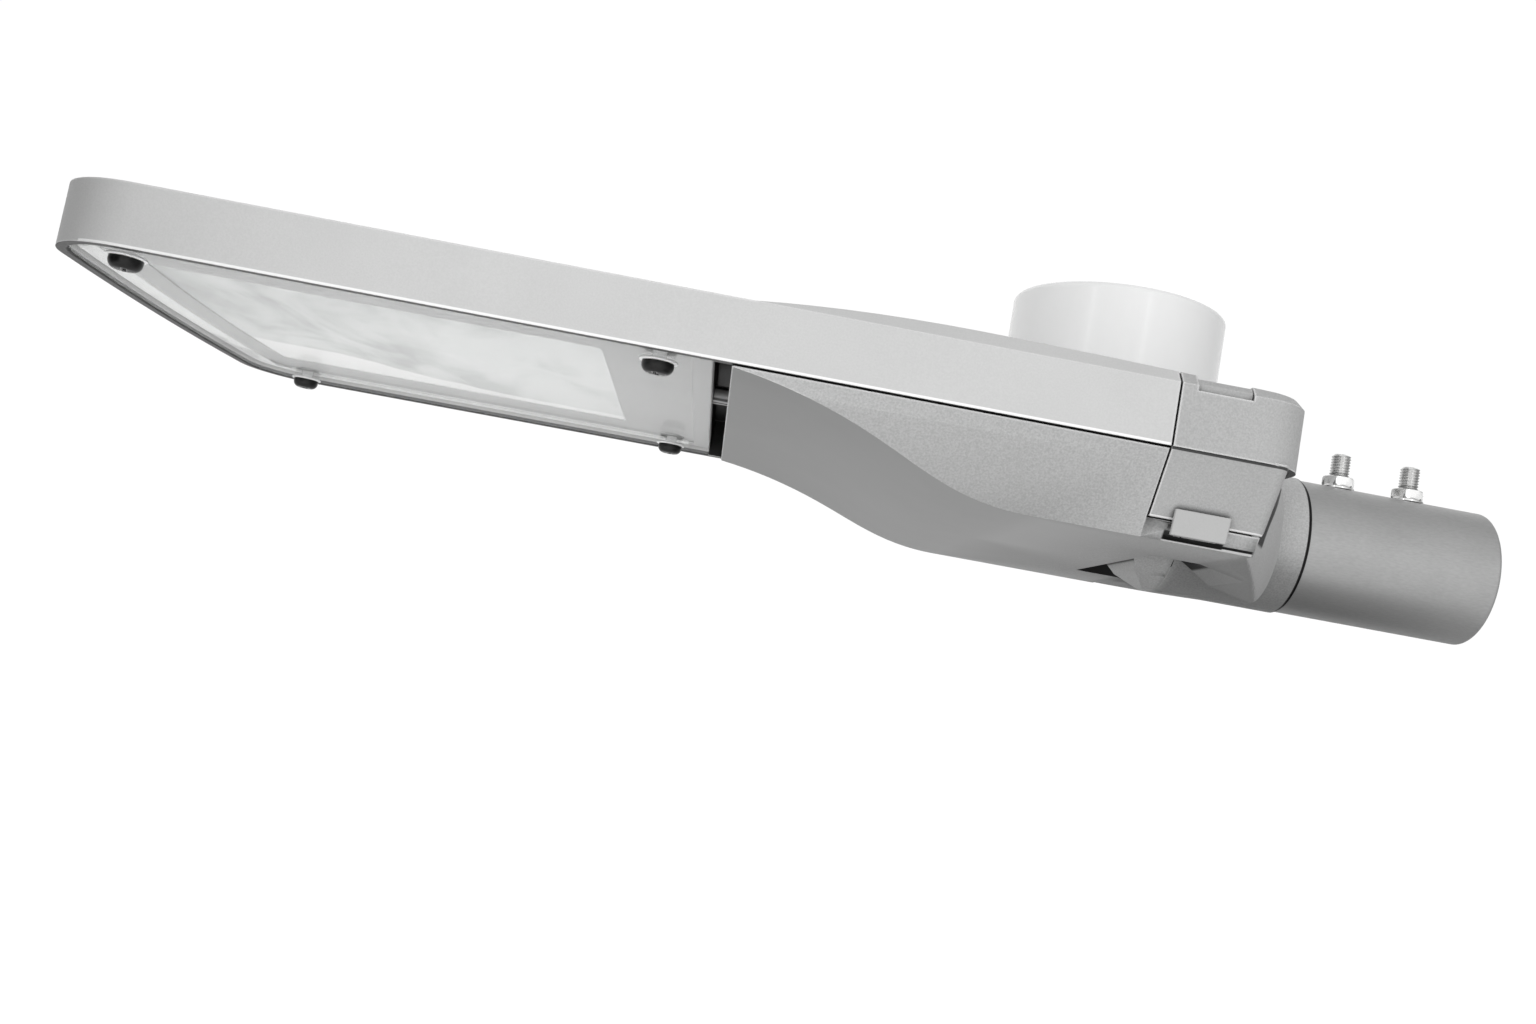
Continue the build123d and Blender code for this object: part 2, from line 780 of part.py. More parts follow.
# Rear hood
def rear_hood(upper):
    cap = upper & block(hood_seam_x, 0, -far, far, 0, high)
    skirt_top = band_bottom_z + 1
    skirt = drafted_sides(0, skirt_top)
    skirt = skirt & block(hood_seam_x, skirt_rear_x, -far, far, skirt_bottom_z, skirt_top)
    rear_face = skirt.faces().sort_by(Axis.X)[-1]
    skirt = fillet(rear_face.edges().sort_by(Axis.Y)[0], skirt_corner_radius)
    rear_face = skirt.faces().sort_by(Axis.X)[-1]
    skirt = fillet(rear_face.edges().sort_by(Axis.Y)[-1], skirt_corner_radius)
    body = cap + skirt
    cavity_plan = plan_outline(hood_wall, hood_rear_x - hood_wall, hood_corner_radius - hood_wall)
    front = hood_seam_x - 50
    cavity = raised(cavity_plan, 0, hood_cavity_top_z) & block(front, 0, -far, far, band_bottom_z, high)
    body -= cavity
    inside = drafted_sides(skirt_wall, skirt_top) & block(
        front, skirt_rear_x - skirt_return, -far, far, low, skirt_top)
    body -= inside
    keep_out = neck_half_width + skirt_neck_gap
    body -= block(front, 0, -keep_out, keep_out, low, band_bottom_z)
    arch = along_x(hood_rear_x - 30, 0, 0, 0, collar_radius + arch_clearance)
    body -= arch
    arch_half = collar_radius + arch_clearance
    body -= block(hood_rear_x - 30, 0, -arch_half, arch_half, low, 0)
    body += hood_tongue(upper)
    body += upright(cell_x, 0, hood_cavity_top_z - 1.5, pad_z, pad_radius) - along_x(
        hood_rear_x - 40, 0, 0, 0, collar_radius + arch_clearance)
    body -= upright(cell_x, 0, 0, high, receptacle_radius + receptacle_fit)
    for x, y in receptacle_screw_spots():
        body -= upright(x, y, 0, high, receptacle_screw_radius + screw_fit)
    for side in (-1, 1):
        body -= shoulder_notch(side)
    return body


def hood_tongue(upper):
    top_z = band_top_z + deck_height
    plate = upper & block(hinge_x, hood_seam_x + 8, -tongue_half_width, tongue_half_width,
                          top_z - tongue_thickness, high)
    knuckle = along_y(hinge_x, -tongue_half_width, tongue_half_width, hinge_z(), hinge_knuckle_radius)
    body = plate + knuckle
    reach = hinge_pin_length / 2
    return body - along_y(hinge_x, -reach, reach, hinge_z(), hinge_pin_radius + hinge_pin_fit)


def shoulder_notch(side):
    outer = half_width(block_rear_x) + 1
    inner = half_width(block_rear_x) - block_sink - block_depth - block_gap
    y0, y1 = sorted((side * outer, side * inner))
    front = block_front_x - block_gap
    return block(front, block_rear_x + block_gap, y0, y1, block_bottom_z - block_gap, high)


def shoulder_block(side):
    """Filler block that lies in the notch of the hood's bevel."""
    outer = half_width(block_rear_x) - block_sink
    inner = outer - block_depth
    top = band_top_z + 3.4
    body = block(block_front_x, block_rear_x, inner, outer, block_bottom_z - block_gap, top)
    edge = body.edges().filter_by(Axis.X).sort_by(lambda e: e.center().Y + e.center().Z)[-1]
    body = chamfer(edge, 2.4, 2.0)
    if side < 0:
        body = mirror(body, about=Plane.XZ)
    return body


def hinge_pin():
    return along_y(hinge_x, -hinge_pin_length / 2, hinge_pin_length / 2, hinge_z(), hinge_pin_radius)


# Side latches
def latch_inner(z):
    top = side_face(latch_front_x, latch_top_z) + latch_stand_off
    return top - (latch_top_z - z) * math.tan(math.radians(latch_tilt))


def latch_pivot():
    z = latch_bottom_z + latch_knuckle_radius - 0.1
    return latch_inner(z) - latch_knuckle_radius + 0.2, z


def latch_plate(side):
    y_top = latch_inner(latch_top_z)
    y_low = latch_inner(latch_bottom_z)
    corners = [
        (y_top, latch_top_z), (y_top + latch_thickness, latch_top_z),
        (y_low + latch_thickness, latch_bottom_z), (y_low, latch_bottom_z),
    ]
    face = make_face(Polyline(*corners, close=True))
    plate = extrude(Plane.YZ.offset(latch_front_x) * face, amount=latch_rear_x - latch_front_x)
    outer = plate.edges().filter_by(Axis.Y, reverse=True).filter_by(Axis.X, reverse=True)
    plate = fillet(outer, latch_edge_radius)
    y, z = latch_pivot()
    inset = latch_ear_inset + latch_ear_width + latch_ear_gap
    plate += along_x(latch_front_x + inset, latch_rear_x - inset, y, z, latch_knuckle_radius)
    plate -= along_x(latch_front_x, latch_rear_x, y, z, latch_pin_radius + latch_pin_fit)
    return plate if side > 0 else mirror(plate, about=Plane.XZ)


def latch_recess(side):
    y, z = latch_pivot()
    inner = y - latch_knuckle_radius - latch_recess_gap
    low = z - latch_knuckle_radius - latch_recess_gap
    y0, y1 = sorted((side * inner, side * (y + 20)))
    x0 = latch_front_x - latch_ear_gap
    return block(x0, latch_rear_x + latch_ear_gap, y0, y1, low, z + latch_recess_height)


def latch_ears(side):
    y, z = latch_pivot()
    ears = Part()
    for x in (latch_front_x + latch_ear_inset, latch_rear_x - latch_ear_inset - latch_ear_width):
        disc = along_x(x, x + latch_ear_width, y, z, latch_knuckle_radius - 0.25)
        web = block(x, x + latch_ear_width, y - latch_knuckle_radius - 1.2, y, z - 1.4, z + 1.4)
        ears += disc + web
    ears -= along_x(latch_front_x, latch_rear_x, y, z, latch_pin_radius)
    return ears if side > 0 else mirror(ears, about=Plane.XZ)


def latch_pin(side):
    y, z = latch_pivot()
    x0 = latch_front_x + latch_ear_inset
    x1 = latch_rear_x - latch_ear_inset
    return along_x(x0, x1, side * y, z, latch_pin_radius)


# Photocell and receptacle
def receptacle_z():
    return pad_z + receptacle_gasket_thickness + receptacle_flange_thickness


def arc_blade(centre_angle, width_angle, z0, z1, grow):
    """Curved blade, or its slot when grow is above zero."""
    ring = Circle(blade_circle_radius + blade_thickness / 2 + grow)
    ring -= Circle(blade_circle_radius - blade_thickness / 2 - grow)
    half = math.radians(width_angle / 2)
    reach = 2 * blade_circle_radius
    spread = reach * math.tan(half)
    wedge = make_face(Polyline((0, 0), (reach, -spread), (reach, spread), close=True))
    sector = ring & wedge
    return Pos(cell_x, 0, 0) * Rot(0, 0, centre_angle) * raised(sector, z0, z1 - z0)


def blade_angles():
    return [90, 210, 330]


def photocell_receptacle():
    top = receptacle_z()
    body = upright(cell_x, 0, top - receptacle_flange_thickness, top, receptacle_flange_radius)
    body += upright(cell_x, 0, pad_z - receptacle_depth, top, receptacle_radius)
    slot_arc = blade_arc + twist_range + slot_spare_angle
    for angle in blade_angles():
        body -= arc_blade(angle + twist_range / 2, slot_arc, top - blade_depth - 2, top + 1, blade_gap)
    for x, y in receptacle_screw_spots():
        body -= upright(x, y, 0, high, receptacle_screw_radius + washer_hole_gap)
    return body


def receptacle_gasket():
    ring = upright(cell_x, 0, pad_z, pad_z + receptacle_gasket_thickness, receptacle_flange_radius)
    ring -= upright(cell_x, 0, 0, high, receptacle_radius + receptacle_fit)
    for x, y in receptacle_screw_spots():
        ring -= upright(x, y, 0, high, receptacle_screw_radius + washer_hole_gap)
    return ring


def receptacle_screw_spots():
    reach = (receptacle_radius + receptacle_flange_radius) / 2
    angles = [math.radians(45 + 90 * k) for k in range(4)]
    return [(cell_x + reach * math.cos(a), reach * math.sin(a)) for a in angles]


def receptacle_screws():
    solids = []
    seat = receptacle_z()
    for x, y in receptacle_screw_spots():
        head = upright(x, y, seat, seat + receptacle_screw_head_height, receptacle_screw_head_radius)
        solids.append(head + upright(x, y, pad_z - receptacle_screw_depth, seat, receptacle_screw_radius))
    return solids


def receptacle_contacts():
    """Spring contacts at the bottom of the three curved slots."""
    solids = []
    floor_z = receptacle_z() - blade_depth - 2
    for angle in blade_angles():
        solids.append(arc_blade(angle + twist_range / 2, blade_arc + twist_range, floor_z,
                                floor_z + contact_thickness, 0.2))
    return solids


def photocell_cap():
    bottom = pad_z + cell_skirt_gap
    body = upright(cell_x, 0, bottom, cell_top_z, cell_radius)
    body = fillet(body.edges().group_by(Axis.Z)[-1], cell_rim_radius)
    body -= upright(cell_x, 0, 0, cell_top_z - cell_wall, cell_radius - cell_wall)
    return body


def cell_base_z():
    return receptacle_z() + seal_gap + seal_thickness


def photocell_base():
    z = cell_base_z()
    body = upright(cell_x, 0, z, z + cell_base_thickness, cell_radius - cell_wall - cell_base_fit)
    top = z + cell_collar_height
    collar = upright(cell_x, 0, z, top, cell_collar_radius)
    collar -= upright(cell_x, 0, z + cell_base_thickness, top + 1, cell_collar_radius - cell_collar_wall)
    return body + collar


def photocell_seal():
    z = receptacle_z() + seal_gap
    ring = upright(cell_x, 0, z, z + seal_thickness, seal_outer_radius)
    return ring - upright(cell_x, 0, z - 1, z + 3, seal_inner_radius)


def photocell_blades():
    tip = receptacle_z() - blade_depth
    return [arc_blade(angle, blade_arc, tip, cell_base_z(), 0) for angle in blade_angles()]


# Gear
def led_driver():
    length_x, length_y, height = driver_size
    body = block(driver_x - length_x / 2, driver_x + length_x / 2, -length_y / 2, length_y / 2,
                 roof_z - height, roof_z)
    body = chamfer(body.edges().filter_by(Axis.Y).group_by(Axis.Z)[0], driver_edge)
    for side in (-1, 1):
        y0, y1 = sorted((side * length_y / 2, side * (length_y / 2 + driver_tab)))
        body += block(driver_x - driver_tab_half, driver_x + driver_tab_half, y0, y1,
                      roof_z - driver_tab_thickness, roof_z)
    for x, y in driver_screw_spots():
        body -= upright(x, y, 0, roof_z, driver_screw_radius + washer_hole_gap)
    return body


def driver_screw_spots():
    return [(driver_x, s * (driver_size[1] / 2 + driver_tab / 2)) for s in (-1, 1)]


def driver_screws():
    solids = []
    for x, y in driver_screw_spots():
        seat = roof_z - driver_tab_thickness
        head = upright(x, y, seat - driver_screw_head_height, seat, driver_screw_head_radius)
        solids.append(head + upright(x, y, seat, roof_z, driver_screw_radius))
    return solids


def surge_place():
    return surge_x, surge_size[1] / 2 + surge_side_gap + housing_wall - tray_half_width


def surge_screw_spots():
    x, y = surge_place()
    return [(x + s * (surge_size[0] / 2 - surge_screw_inset), y) for s in (-1, 1)]


def gear_top(x, y):
    """Top of the foot of the piece that a floor screw holds."""
    if (x, y) in clamp_screw_spots():
        return boss_top(x, y) + clamp_height
    return boss_top(x, y) + foot_thickness


def surge_protector():
    x, y = surge_place()
    length, width, height = surge_size
    z = housing_floor_z + boss_height
    body = block(x - length / 2, x + length / 2, y - width / 2, y + width / 2, z, z + foot_thickness)
    case_half = length / 2 - surge_foot
    body += block(x - case_half, x + case_half, y - width / 2, y + width / 2, z, z + height)
    for sx, sy in surge_screw_spots():
        body -= upright(sx, sy, -40, 40, foot_hole_radius)
    return body


def terminal_screw_spots():
    x, y = terminal_place
    reach = terminal_pitch * terminal_ways / 2 + terminal_end_reach
    return [(x, y - reach), (x, y + reach)]


def terminal_block():
    x, y = terminal_place
    z = housing_floor_z + boss_height
    half = terminal_pitch * terminal_ways / 2
    bar = terminal_bar_half
    body = block(x - bar, x + bar, y - half - terminal_end, y + half + terminal_end, z, z + foot_thickness)
    half_way = (terminal_pitch - terminal_gap) / 2
    depth = terminal_half_depth
    for way in range(terminal_ways):
        cy = y + (way - (terminal_ways - 1) / 2) * terminal_pitch
        tower = block(x - depth, x + depth, cy - half_way, cy + half_way, z, z + terminal_height)
        tower -= along_x(x - depth - 1, x + depth + 1, cy, z + terminal_height * 0.38, terminal_wire_radius)
        for sx in (-bar, bar):
            tower -= upright(x + sx, cy, z + terminal_height - terminal_screw_depth, z + terminal_height + 1,
                             terminal_screw_radius)
        body += tower
    for sx, sy in terminal_screw_spots():
        body -= upright(sx, sy, -40, 40, foot_hole_radius)
    return body


def clamp_screw_spots():
    return [(clamp_x, s * clamp_span / 2) for s in (-1, 1)]


def cable_clamp():
    """Saddle bar that holds the supply cable behind the spigot."""
    z = boss_top(*clamp_screw_spots()[0])
    half = clamp_span / 2 + clamp_half_width
    front = clamp_x - clamp_half_width
    rear = clamp_x + clamp_half_width
    body = block(front, rear, -half, half, z, z + clamp_height)
    body -= along_x(front - 1, rear + 1, 0, z - clamp_cable_drop, clamp_cable_radius)
    for x, y in clamp_screw_spots():
        body -= upright(x, y, -40, 40, foot_hole_radius)
    return body


def floor_screws(spots):
    solids = []
    for x, y in spots:
        seat = gear_top(x, y)
        head = upright(x, y, seat, seat + floor_screw_head_height, floor_screw_head_radius)
        solids.append(head + upright(x, y, boss_root(x, y) + 1.5, seat, boss_hole_radius - screw_fit))
    return solids


def lead_conduit():
    """Short tube that carries the LED leads across the open slot."""
    x0 = bay_rear_x - bay_wall - conduit_reach
    x1 = belly_start_x + housing_wall + conduit_reach
    y, z = conduit_place
    tube = along_x(x0, x1, y, z, conduit_radius)
    return tube - along_x(x0 - 1, x1 + 1, y, z, conduit_radius - conduit_wall)


def compartment_seal():
    """Rubber strip on the rim of the tray."""
    outer = tray_half_width - 0.6
    inner = tray_half_width - housing_wall + 0.6
    rear = housing_rear_x - 0.8
    ring = block(housing_seam_x + 1, rear, -outer, outer, tray_top_z, tray_top_z + seal_strip_height)
    ring -= block(housing_seam_x - 5, rear - 2.8, -inner, inner, 0, high)
    gap = collar_radius + 2
    return (ring - block(-far, 0, -gap, gap, 0, high)).solids()


upper = upper_form()
nodes = {
    "canopy": canopy(upper),
    "gear_housing": gear_housing(),
    "rear_hood": rear_hood(upper),
    "hood_hinge_pin": hinge_pin(),
    "shoulder_block_near": shoulder_block(-1),
    "shoulder_block_far": shoulder_block(1),
    "latch_plate_near": latch_plate(-1),
    "latch_plate_far": latch_plate(1),
    "latch_pin_near": latch_pin(-1),
    "latch_pin_far": latch_pin(1),
    "front_glass": front_glass(),
    "glass_gasket": glass_gasket(),
    "bezel_plate": bezel_plate(),
    "diffuser_sheet": diffuser_sheet(),
    "diffuser_clips": diffuser_clips(),
    "glass_screws": glass_screws(),
    "glass_washers": glass_washers(),
    "led_board_front": led_board(board_centres()[0]),
    "led_board_rear": led_board(board_centres()[1]),
    "led_packages_front": led_packages(board_centres()[0]),
    "led_packages_rear": led_packages(board_centres()[1]),
    "board_screws": board_screws(),
    "lead_conduit": lead_conduit(),
    "spigot_tube": spigot_tube(),
    "spigot_set_screws": set_screws(),
    "spigot_lock_nuts": lock_nuts(),
    "collar_grub_screws": grub_screws(),
    "cable_grommet": cable_grommet(),
    "photocell_receptacle": photocell_receptacle(),
    "receptacle_gasket": receptacle_gasket(),
    "receptacle_screws": receptacle_screws(),
    "receptacle_contacts": receptacle_contacts(),
    "photocell_cap": photocell_cap(),
    "photocell_base": photocell_base(),
    "photocell_seal": photocell_seal(),
    "photocell_blades": photocell_blades(),
    "led_driver": led_driver(),
    "driver_screws": driver_screws(),
    "surge_protector": surge_protector(),
    "surge_screws": floor_screws(surge_screw_spots()),
    "terminal_block": terminal_block(),
    "terminal_screws": floor_screws(terminal_screw_spots()),
    "cable_clamp": cable_clamp(),
    "clamp_screws": floor_screws(clamp_screw_spots()),
    "compartment_seal": compartment_seal(),
}

os.makedirs("parts", exist_ok=True)
for name, shape in nodes.items():
    solids = shape if isinstance(shape, list) else shape.solids()
    whole = solids[0] if len(solids) == 1 else Compound(children=list(solids))
    export_step(whole, f"parts/{name}.step")
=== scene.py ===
import bpy
import bmesh
import math
from mathutils import Matrix, Vector


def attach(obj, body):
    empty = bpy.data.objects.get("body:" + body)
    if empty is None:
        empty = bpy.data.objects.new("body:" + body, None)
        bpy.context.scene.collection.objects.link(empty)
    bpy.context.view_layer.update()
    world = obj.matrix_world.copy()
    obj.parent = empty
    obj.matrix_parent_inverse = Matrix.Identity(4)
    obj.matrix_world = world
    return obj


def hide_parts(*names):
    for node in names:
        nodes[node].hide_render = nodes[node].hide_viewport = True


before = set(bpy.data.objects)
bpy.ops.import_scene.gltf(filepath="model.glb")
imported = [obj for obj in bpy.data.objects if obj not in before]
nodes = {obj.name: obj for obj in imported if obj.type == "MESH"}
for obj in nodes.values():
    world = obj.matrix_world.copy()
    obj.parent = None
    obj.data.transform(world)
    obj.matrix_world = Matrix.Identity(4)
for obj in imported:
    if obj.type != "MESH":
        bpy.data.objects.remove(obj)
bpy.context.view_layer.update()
scene = bpy.context.scene

# Levels of the head, in metres
parting_z = 0.0104      # housing and skirt meet the canopy and the cap
glass_z = 0.0114        # lower face of the pane
seat_z = 0.0344         # seats of the lock nuts on the spigot
screw_foot = 0.0308     # lower end of the set screws, inside the spigot's wall
screw_top = 0.053


# Shader node helpers
def shader_of(material):
    """Node tree of a material and its Principled shader."""
    return material.node_tree, material.node_tree.nodes["Principled BSDF"]


def new_material(name, color, rough, metal=0.0, spec=0.5):
    material = bpy.data.materials.new(name)
    material.use_nodes = True
    tree, shader = shader_of(material)
    shader.inputs["Base Color"].default_value = (*color, 1)
    shader.inputs["Roughness"].default_value = rough
    shader.inputs["Metallic"].default_value = metal
    shader.inputs["Specular IOR Level"].default_value = spec
    return material, tree, shader


def grey(level):
    return (level, level, level)


def add(tree, kind, **settings):
    """New node; each setting goes to the input of that name, or else to the property."""
    node = tree.nodes.new(kind)
    for key, value in settings.items():
        if key in node.inputs:
            node.inputs[key].default_value = value
        else:
            setattr(node, key, value)
    return node


def feed(tree, socket, value):
    """Gives an input another node's output, a color or a number."""
    if hasattr(value, "links"):
        tree.links.new(value, socket)
    elif hasattr(value, "__len__"):
        socket.default_value = (*value, 1)
    else:
        socket.default_value = value


def coords(tree, scale=(1, 1, 1)):
    """Place on the part in metres, stretched by scale."""
    position = add(tree, "ShaderNodeTexCoord")
    mapping = add(tree, "ShaderNodeMapping")
    mapping.inputs["Scale"].default_value = scale
    tree.links.new(position.outputs["Object"], mapping.inputs["Vector"])
    return mapping.outputs["Vector"]


def split(tree, vector):
    parts = add(tree, "ShaderNodeSeparateXYZ")
    tree.links.new(vector, parts.inputs[0])
    return parts.outputs["X"], parts.outputs["Y"], parts.outputs["Z"]


def place_on_part(tree):
    """X, Y and Z of the shaded point."""
    return split(tree, coords(tree))


def facing(tree):
    """X, Y and Z of the flat normal."""
    return split(tree, add(tree, "ShaderNodeNewGeometry").outputs["True Normal"])


def noise(tree, size, detail=3.0, rough=0.5, scale=(1, 1, 1), distortion=0.0):
    node = add(tree, "ShaderNodeTexNoise", Scale=1.0 / size, Detail=detail, Roughness=rough,
               Distortion=distortion)
    tree.links.new(coords(tree, scale), node.inputs["Vector"])
    return node.outputs["Fac"]


def ramp(tree, value, first, last):
    """Goes from one tone to another; first and last are each a (value, tone) pair."""
    node = add(tree, "ShaderNodeValToRGB")
    for element, (stop, tone) in zip(node.color_ramp.elements, (first, last)):
        element.position = stop
        element.color = (*grey(tone), 1)
    tree.links.new(value, node.inputs["Fac"])
    return node.outputs["Color"]


def mix(tree, factor, first, second, blend="MIX"):
    """Mix of two colors; 0, 6 and 7 are the node's factor and color inputs, 2 its color output."""
    node = add(tree, "ShaderNodeMix", data_type="RGBA", blend_type=blend)
    for index, value in ((0, factor), (6, first), (7, second)):
        feed(tree, node.inputs[index], value)
    return node.outputs[2]


def calc(tree, operation, *values):
    """Joins values by one math operation, from the first to the last."""
    result = values[0]
    for value in values[1:]:
        node = add(tree, "ShaderNodeMath", operation=operation)
        feed(tree, node.inputs[0], result)
        feed(tree, node.inputs[1], value)
        result = node.outputs[0]
    return result


def times(tree, *values):
    return calc(tree, "MULTIPLY", *values)


def plus(tree, *values):
    return calc(tree, "ADD", *values)


def either(tree, *masks):
    return calc(tree, "MAXIMUM", *masks)


def opposite(tree, mask):
    return calc(tree, "SUBTRACT", 1.0, mask)


def negative(tree, value):
    return calc(tree, "MULTIPLY", value, -1.0)


def absolute(tree, value):
    return calc(tree, "ABSOLUTE", value, 0.0)


def step_up(tree, value, low, high):
    """Mask that goes smoothly from 0 at low to 1 at high."""
    node = add(tree, "ShaderNodeMapRange", interpolation_type="SMOOTHSTEP")
    node.inputs["From Min"].default_value = low
    node.inputs["From Max"].default_value = high
    tree.links.new(value, node.inputs["Value"])
    return node.outputs["Result"]


def step_down(tree, value, low, high):
    return opposite(tree, step_up(tree, value, low, high))


def region(tree, *limits):
    """Mask of the points inside every limit. A limit is a value, the pair that the mask rises
    over or None, and the pair that it falls over or None."""
    masks = []
    for value, rise, fall in limits:
        if rise:
            masks.append(step_up(tree, value, *rise))
        if fall:
            masks.append(step_down(tree, value, *fall))
    return times(tree, *masks)


def cloudy(tree, value):
    """The middle of a noise, drawn out to 0 and 1."""
    return ramp(tree, value, (0.3, 0.0), (0.7, 1.0))


def swing(tree, factor, color, share):
    """The color, from a share darker to a share lighter."""
    darker = [c * (1 - share) for c in color]
    lighter = [min(1, c * (1 + share)) for c in color]
    return mix(tree, factor, darker, lighter)


def paint(tree, shader, mask, color):
    """Lays a color over what the shader already wears, where the mask is 1."""
    worn = shader.inputs["Base Color"].links[0].from_socket
    tree.links.new(mix(tree, mask, worn, color), shader.inputs["Base Color"])


def emit(tree, shader, color, strength):
    feed(tree, shader.inputs["Emission Color"], color)
    feed(tree, shader.inputs["Emission Strength"], strength)


def bump(tree, shader, height, strength, distance, edge=0.0):
    """Fine relief, and crisp edges that catch light as if rounded by edge."""
    node = add(tree, "ShaderNodeBump", Strength=strength, Distance=distance)
    tree.links.new(height, node.inputs["Height"])
    if edge:
        soft = add(tree, "ShaderNodeBevel", samples=4, Radius=edge)
        tree.links.new(soft.outputs["Normal"], node.inputs["Normal"])
    tree.links.new(node.outputs["Normal"], shader.inputs["Normal"])


def painted_edge_highlight(tree, shader, base, radius, lift, tint):
    """Wears base, with a thin painted highlight over the crisp edges, where the rounded normal
    leaves the flat one."""
    turn_from, turn_to = 0.030, 0.16
    soft = add(tree, "ShaderNodeBevel", samples=6, Radius=radius)
    flat = add(tree, "ShaderNodeNewGeometry")
    dot = add(tree, "ShaderNodeVectorMath", operation="DOT_PRODUCT")
    tree.links.new(soft.outputs["Normal"], dot.inputs[0])
    tree.links.new(flat.outputs["Normal"], dot.inputs[1])
    turn = step_up(tree, opposite(tree, dot.outputs["Value"]), turn_from, turn_to)
    tree.links.new(mix(tree, times(tree, turn, lift), base, tint), shader.inputs["Base Color"])


def painted_hollow_shade(tree, base, reach, depth):
    """Painted shade, darker where the surface is closed in."""
    node = add(tree, "ShaderNodeAmbientOcclusion", samples=6, Distance=reach)
    shade = ramp(tree, node.outputs["AO"], (0.25, depth), (0.80, 1.0))
    return mix(tree, 1.0, base, shade, "MULTIPLY")


# Coats of the castings. A pair of numbers is where a soft edge starts and where it ends: metres
# on x, y or z, or the flat normal's share on an axis.
def powder_coat(name, color, grain, rough, edge, fleck, glow=0.9):
    """Fine grains, faint waviness, painted shade in the hollows, and a painted highlight on the
    edges except underneath.
    """
    grain_size, wave_size = 0.0008, 0.03
    material, tree, shader = new_material(name, color, rough)
    fine = noise(tree, grain_size, rough=0.6)
    base = swing(tree, ramp(tree, fine, (0.36, 0.0), (0.66, 1.0)), color, fleck)
    waves = ramp(tree, noise(tree, wave_size), (0.3, 0.965), (0.7, 1.0))
    base = mix(tree, 1.0, base, waves, "MULTIPLY")
    # Painted shade in the hollows
    base = painted_hollow_shade(tree, base, reach=0.012, depth=0.22)
    # Painted highlight on the edges, left off the faces that turn down
    _, _, side_z = facing(tree)
    turned_down = step_up(tree, negative(tree, side_z), 0.75, 0.9)
    lift = times(tree, opposite(tree, turned_down), glow)
    painted_edge_highlight(tree, shader, base, radius=0.0018, lift=lift, tint=grey(0.92))
    roughness = ramp(tree, fine, (0.3, rough + 0.07), (0.7, rough - 0.05))
    tree.links.new(roughness, shader.inputs["Roughness"])
    bump(tree, shader, fine, strength=grain, distance=0.0003, edge=edge)
    return material


def crease_paint(material):
    """Painted shade in a line under the cap's lower edge and a painted highlight on the skirt's
    lower rim.
    """
    skirt_y, slant = (0.1200, 0.1210), (0.25, 0.35)
    line_low_z, line_high_z = (0.0101, 0.0103), (0.01125, 0.01135)
    rim_z = (-0.0161, -0.0158)
    tree, shader = shader_of(material)
    _, y, z = place_on_part(tree)
    _, _, side_z = facing(tree)
    outer = (absolute(tree, y), skirt_y, None)
    # Painted shade in a line under the cap's lower edge
    line = region(tree, outer, (negative(tree, side_z), slant, None), (z, line_low_z, line_high_z))
    paint(tree, shader, line, grey(0.05))
    # Painted highlight on the skirt's lower rim
    paint(tree, shader, region(tree, outer, (z, None, rim_z)), grey(0.85))


def rim_paint(material):
    """Painted highlight along the band's lower edge, painted shade on the rim's underside and at
    the foot of the inner wall under the pane's pale bedding, and painted shade in the slot behind
    the pane."""
    bay_middle_x = -0.55
    band_y, band_foot_z, band_tilt = (0.1545, 0.1549), (0.0122, 0.0126), (0.45, 0.55)
    rim_z, turned_down = (0.0118, 0.0124), (0.75, 0.9)
    wall_end_x, wall_top_z, turned_in = (-0.4070, -0.4067), (0.0180, 0.0184), (-0.06, -0.02)
    bedding_z = (0.0132, 0.0138)
    slot_front_x, slot_rear_x, slot_y = (-0.4068, -0.4066), (-0.3975, -0.3970), (0.154, 0.155)
    slot_low_z, slot_high_z = (0.0112, 0.0118), (0.0350, 0.0360)
    tree, shader = shader_of(material)
    x, y, z = place_on_part(tree)
    side_x, side_y, side_z = facing(tree)
    out_y = absolute(tree, y)
    # Painted highlight along the band's lower edge
    lit_edge = region(tree, (absolute(tree, side_z), None, band_tilt), (z, None, band_foot_z),
                      (out_y, band_y, None))
    paint(tree, shader, lit_edge, grey(0.97))
    # Painted shade on the rim's underside
    rim = region(tree, (negative(tree, side_z), turned_down, None), (z, None, rim_z))
    paint(tree, shader, rim, grey(0.05))
    # Inner wall: pale bedding above, painted shade at its foot
    outward = plus(tree, times(tree, side_x, plus(tree, x, -bay_middle_x)), times(tree, side_y, y))
    inner_wall = region(tree, (outward, None, turned_in), (z, None, wall_top_z),
                        (x, None, wall_end_x))
    bedding = step_up(tree, z, *bedding_z)
    paint(tree, shader, inner_wall, mix(tree, bedding, grey(0.02), (0.88, 0.88, 0.87)))
    # Painted shade in the slot behind the pane
    slot = region(tree, (x, slot_front_x, slot_rear_x), (out_y, None, slot_y),
                  (z, slot_low_z, slot_high_z))
    paint(tree, shader, slot, grey(0.004))


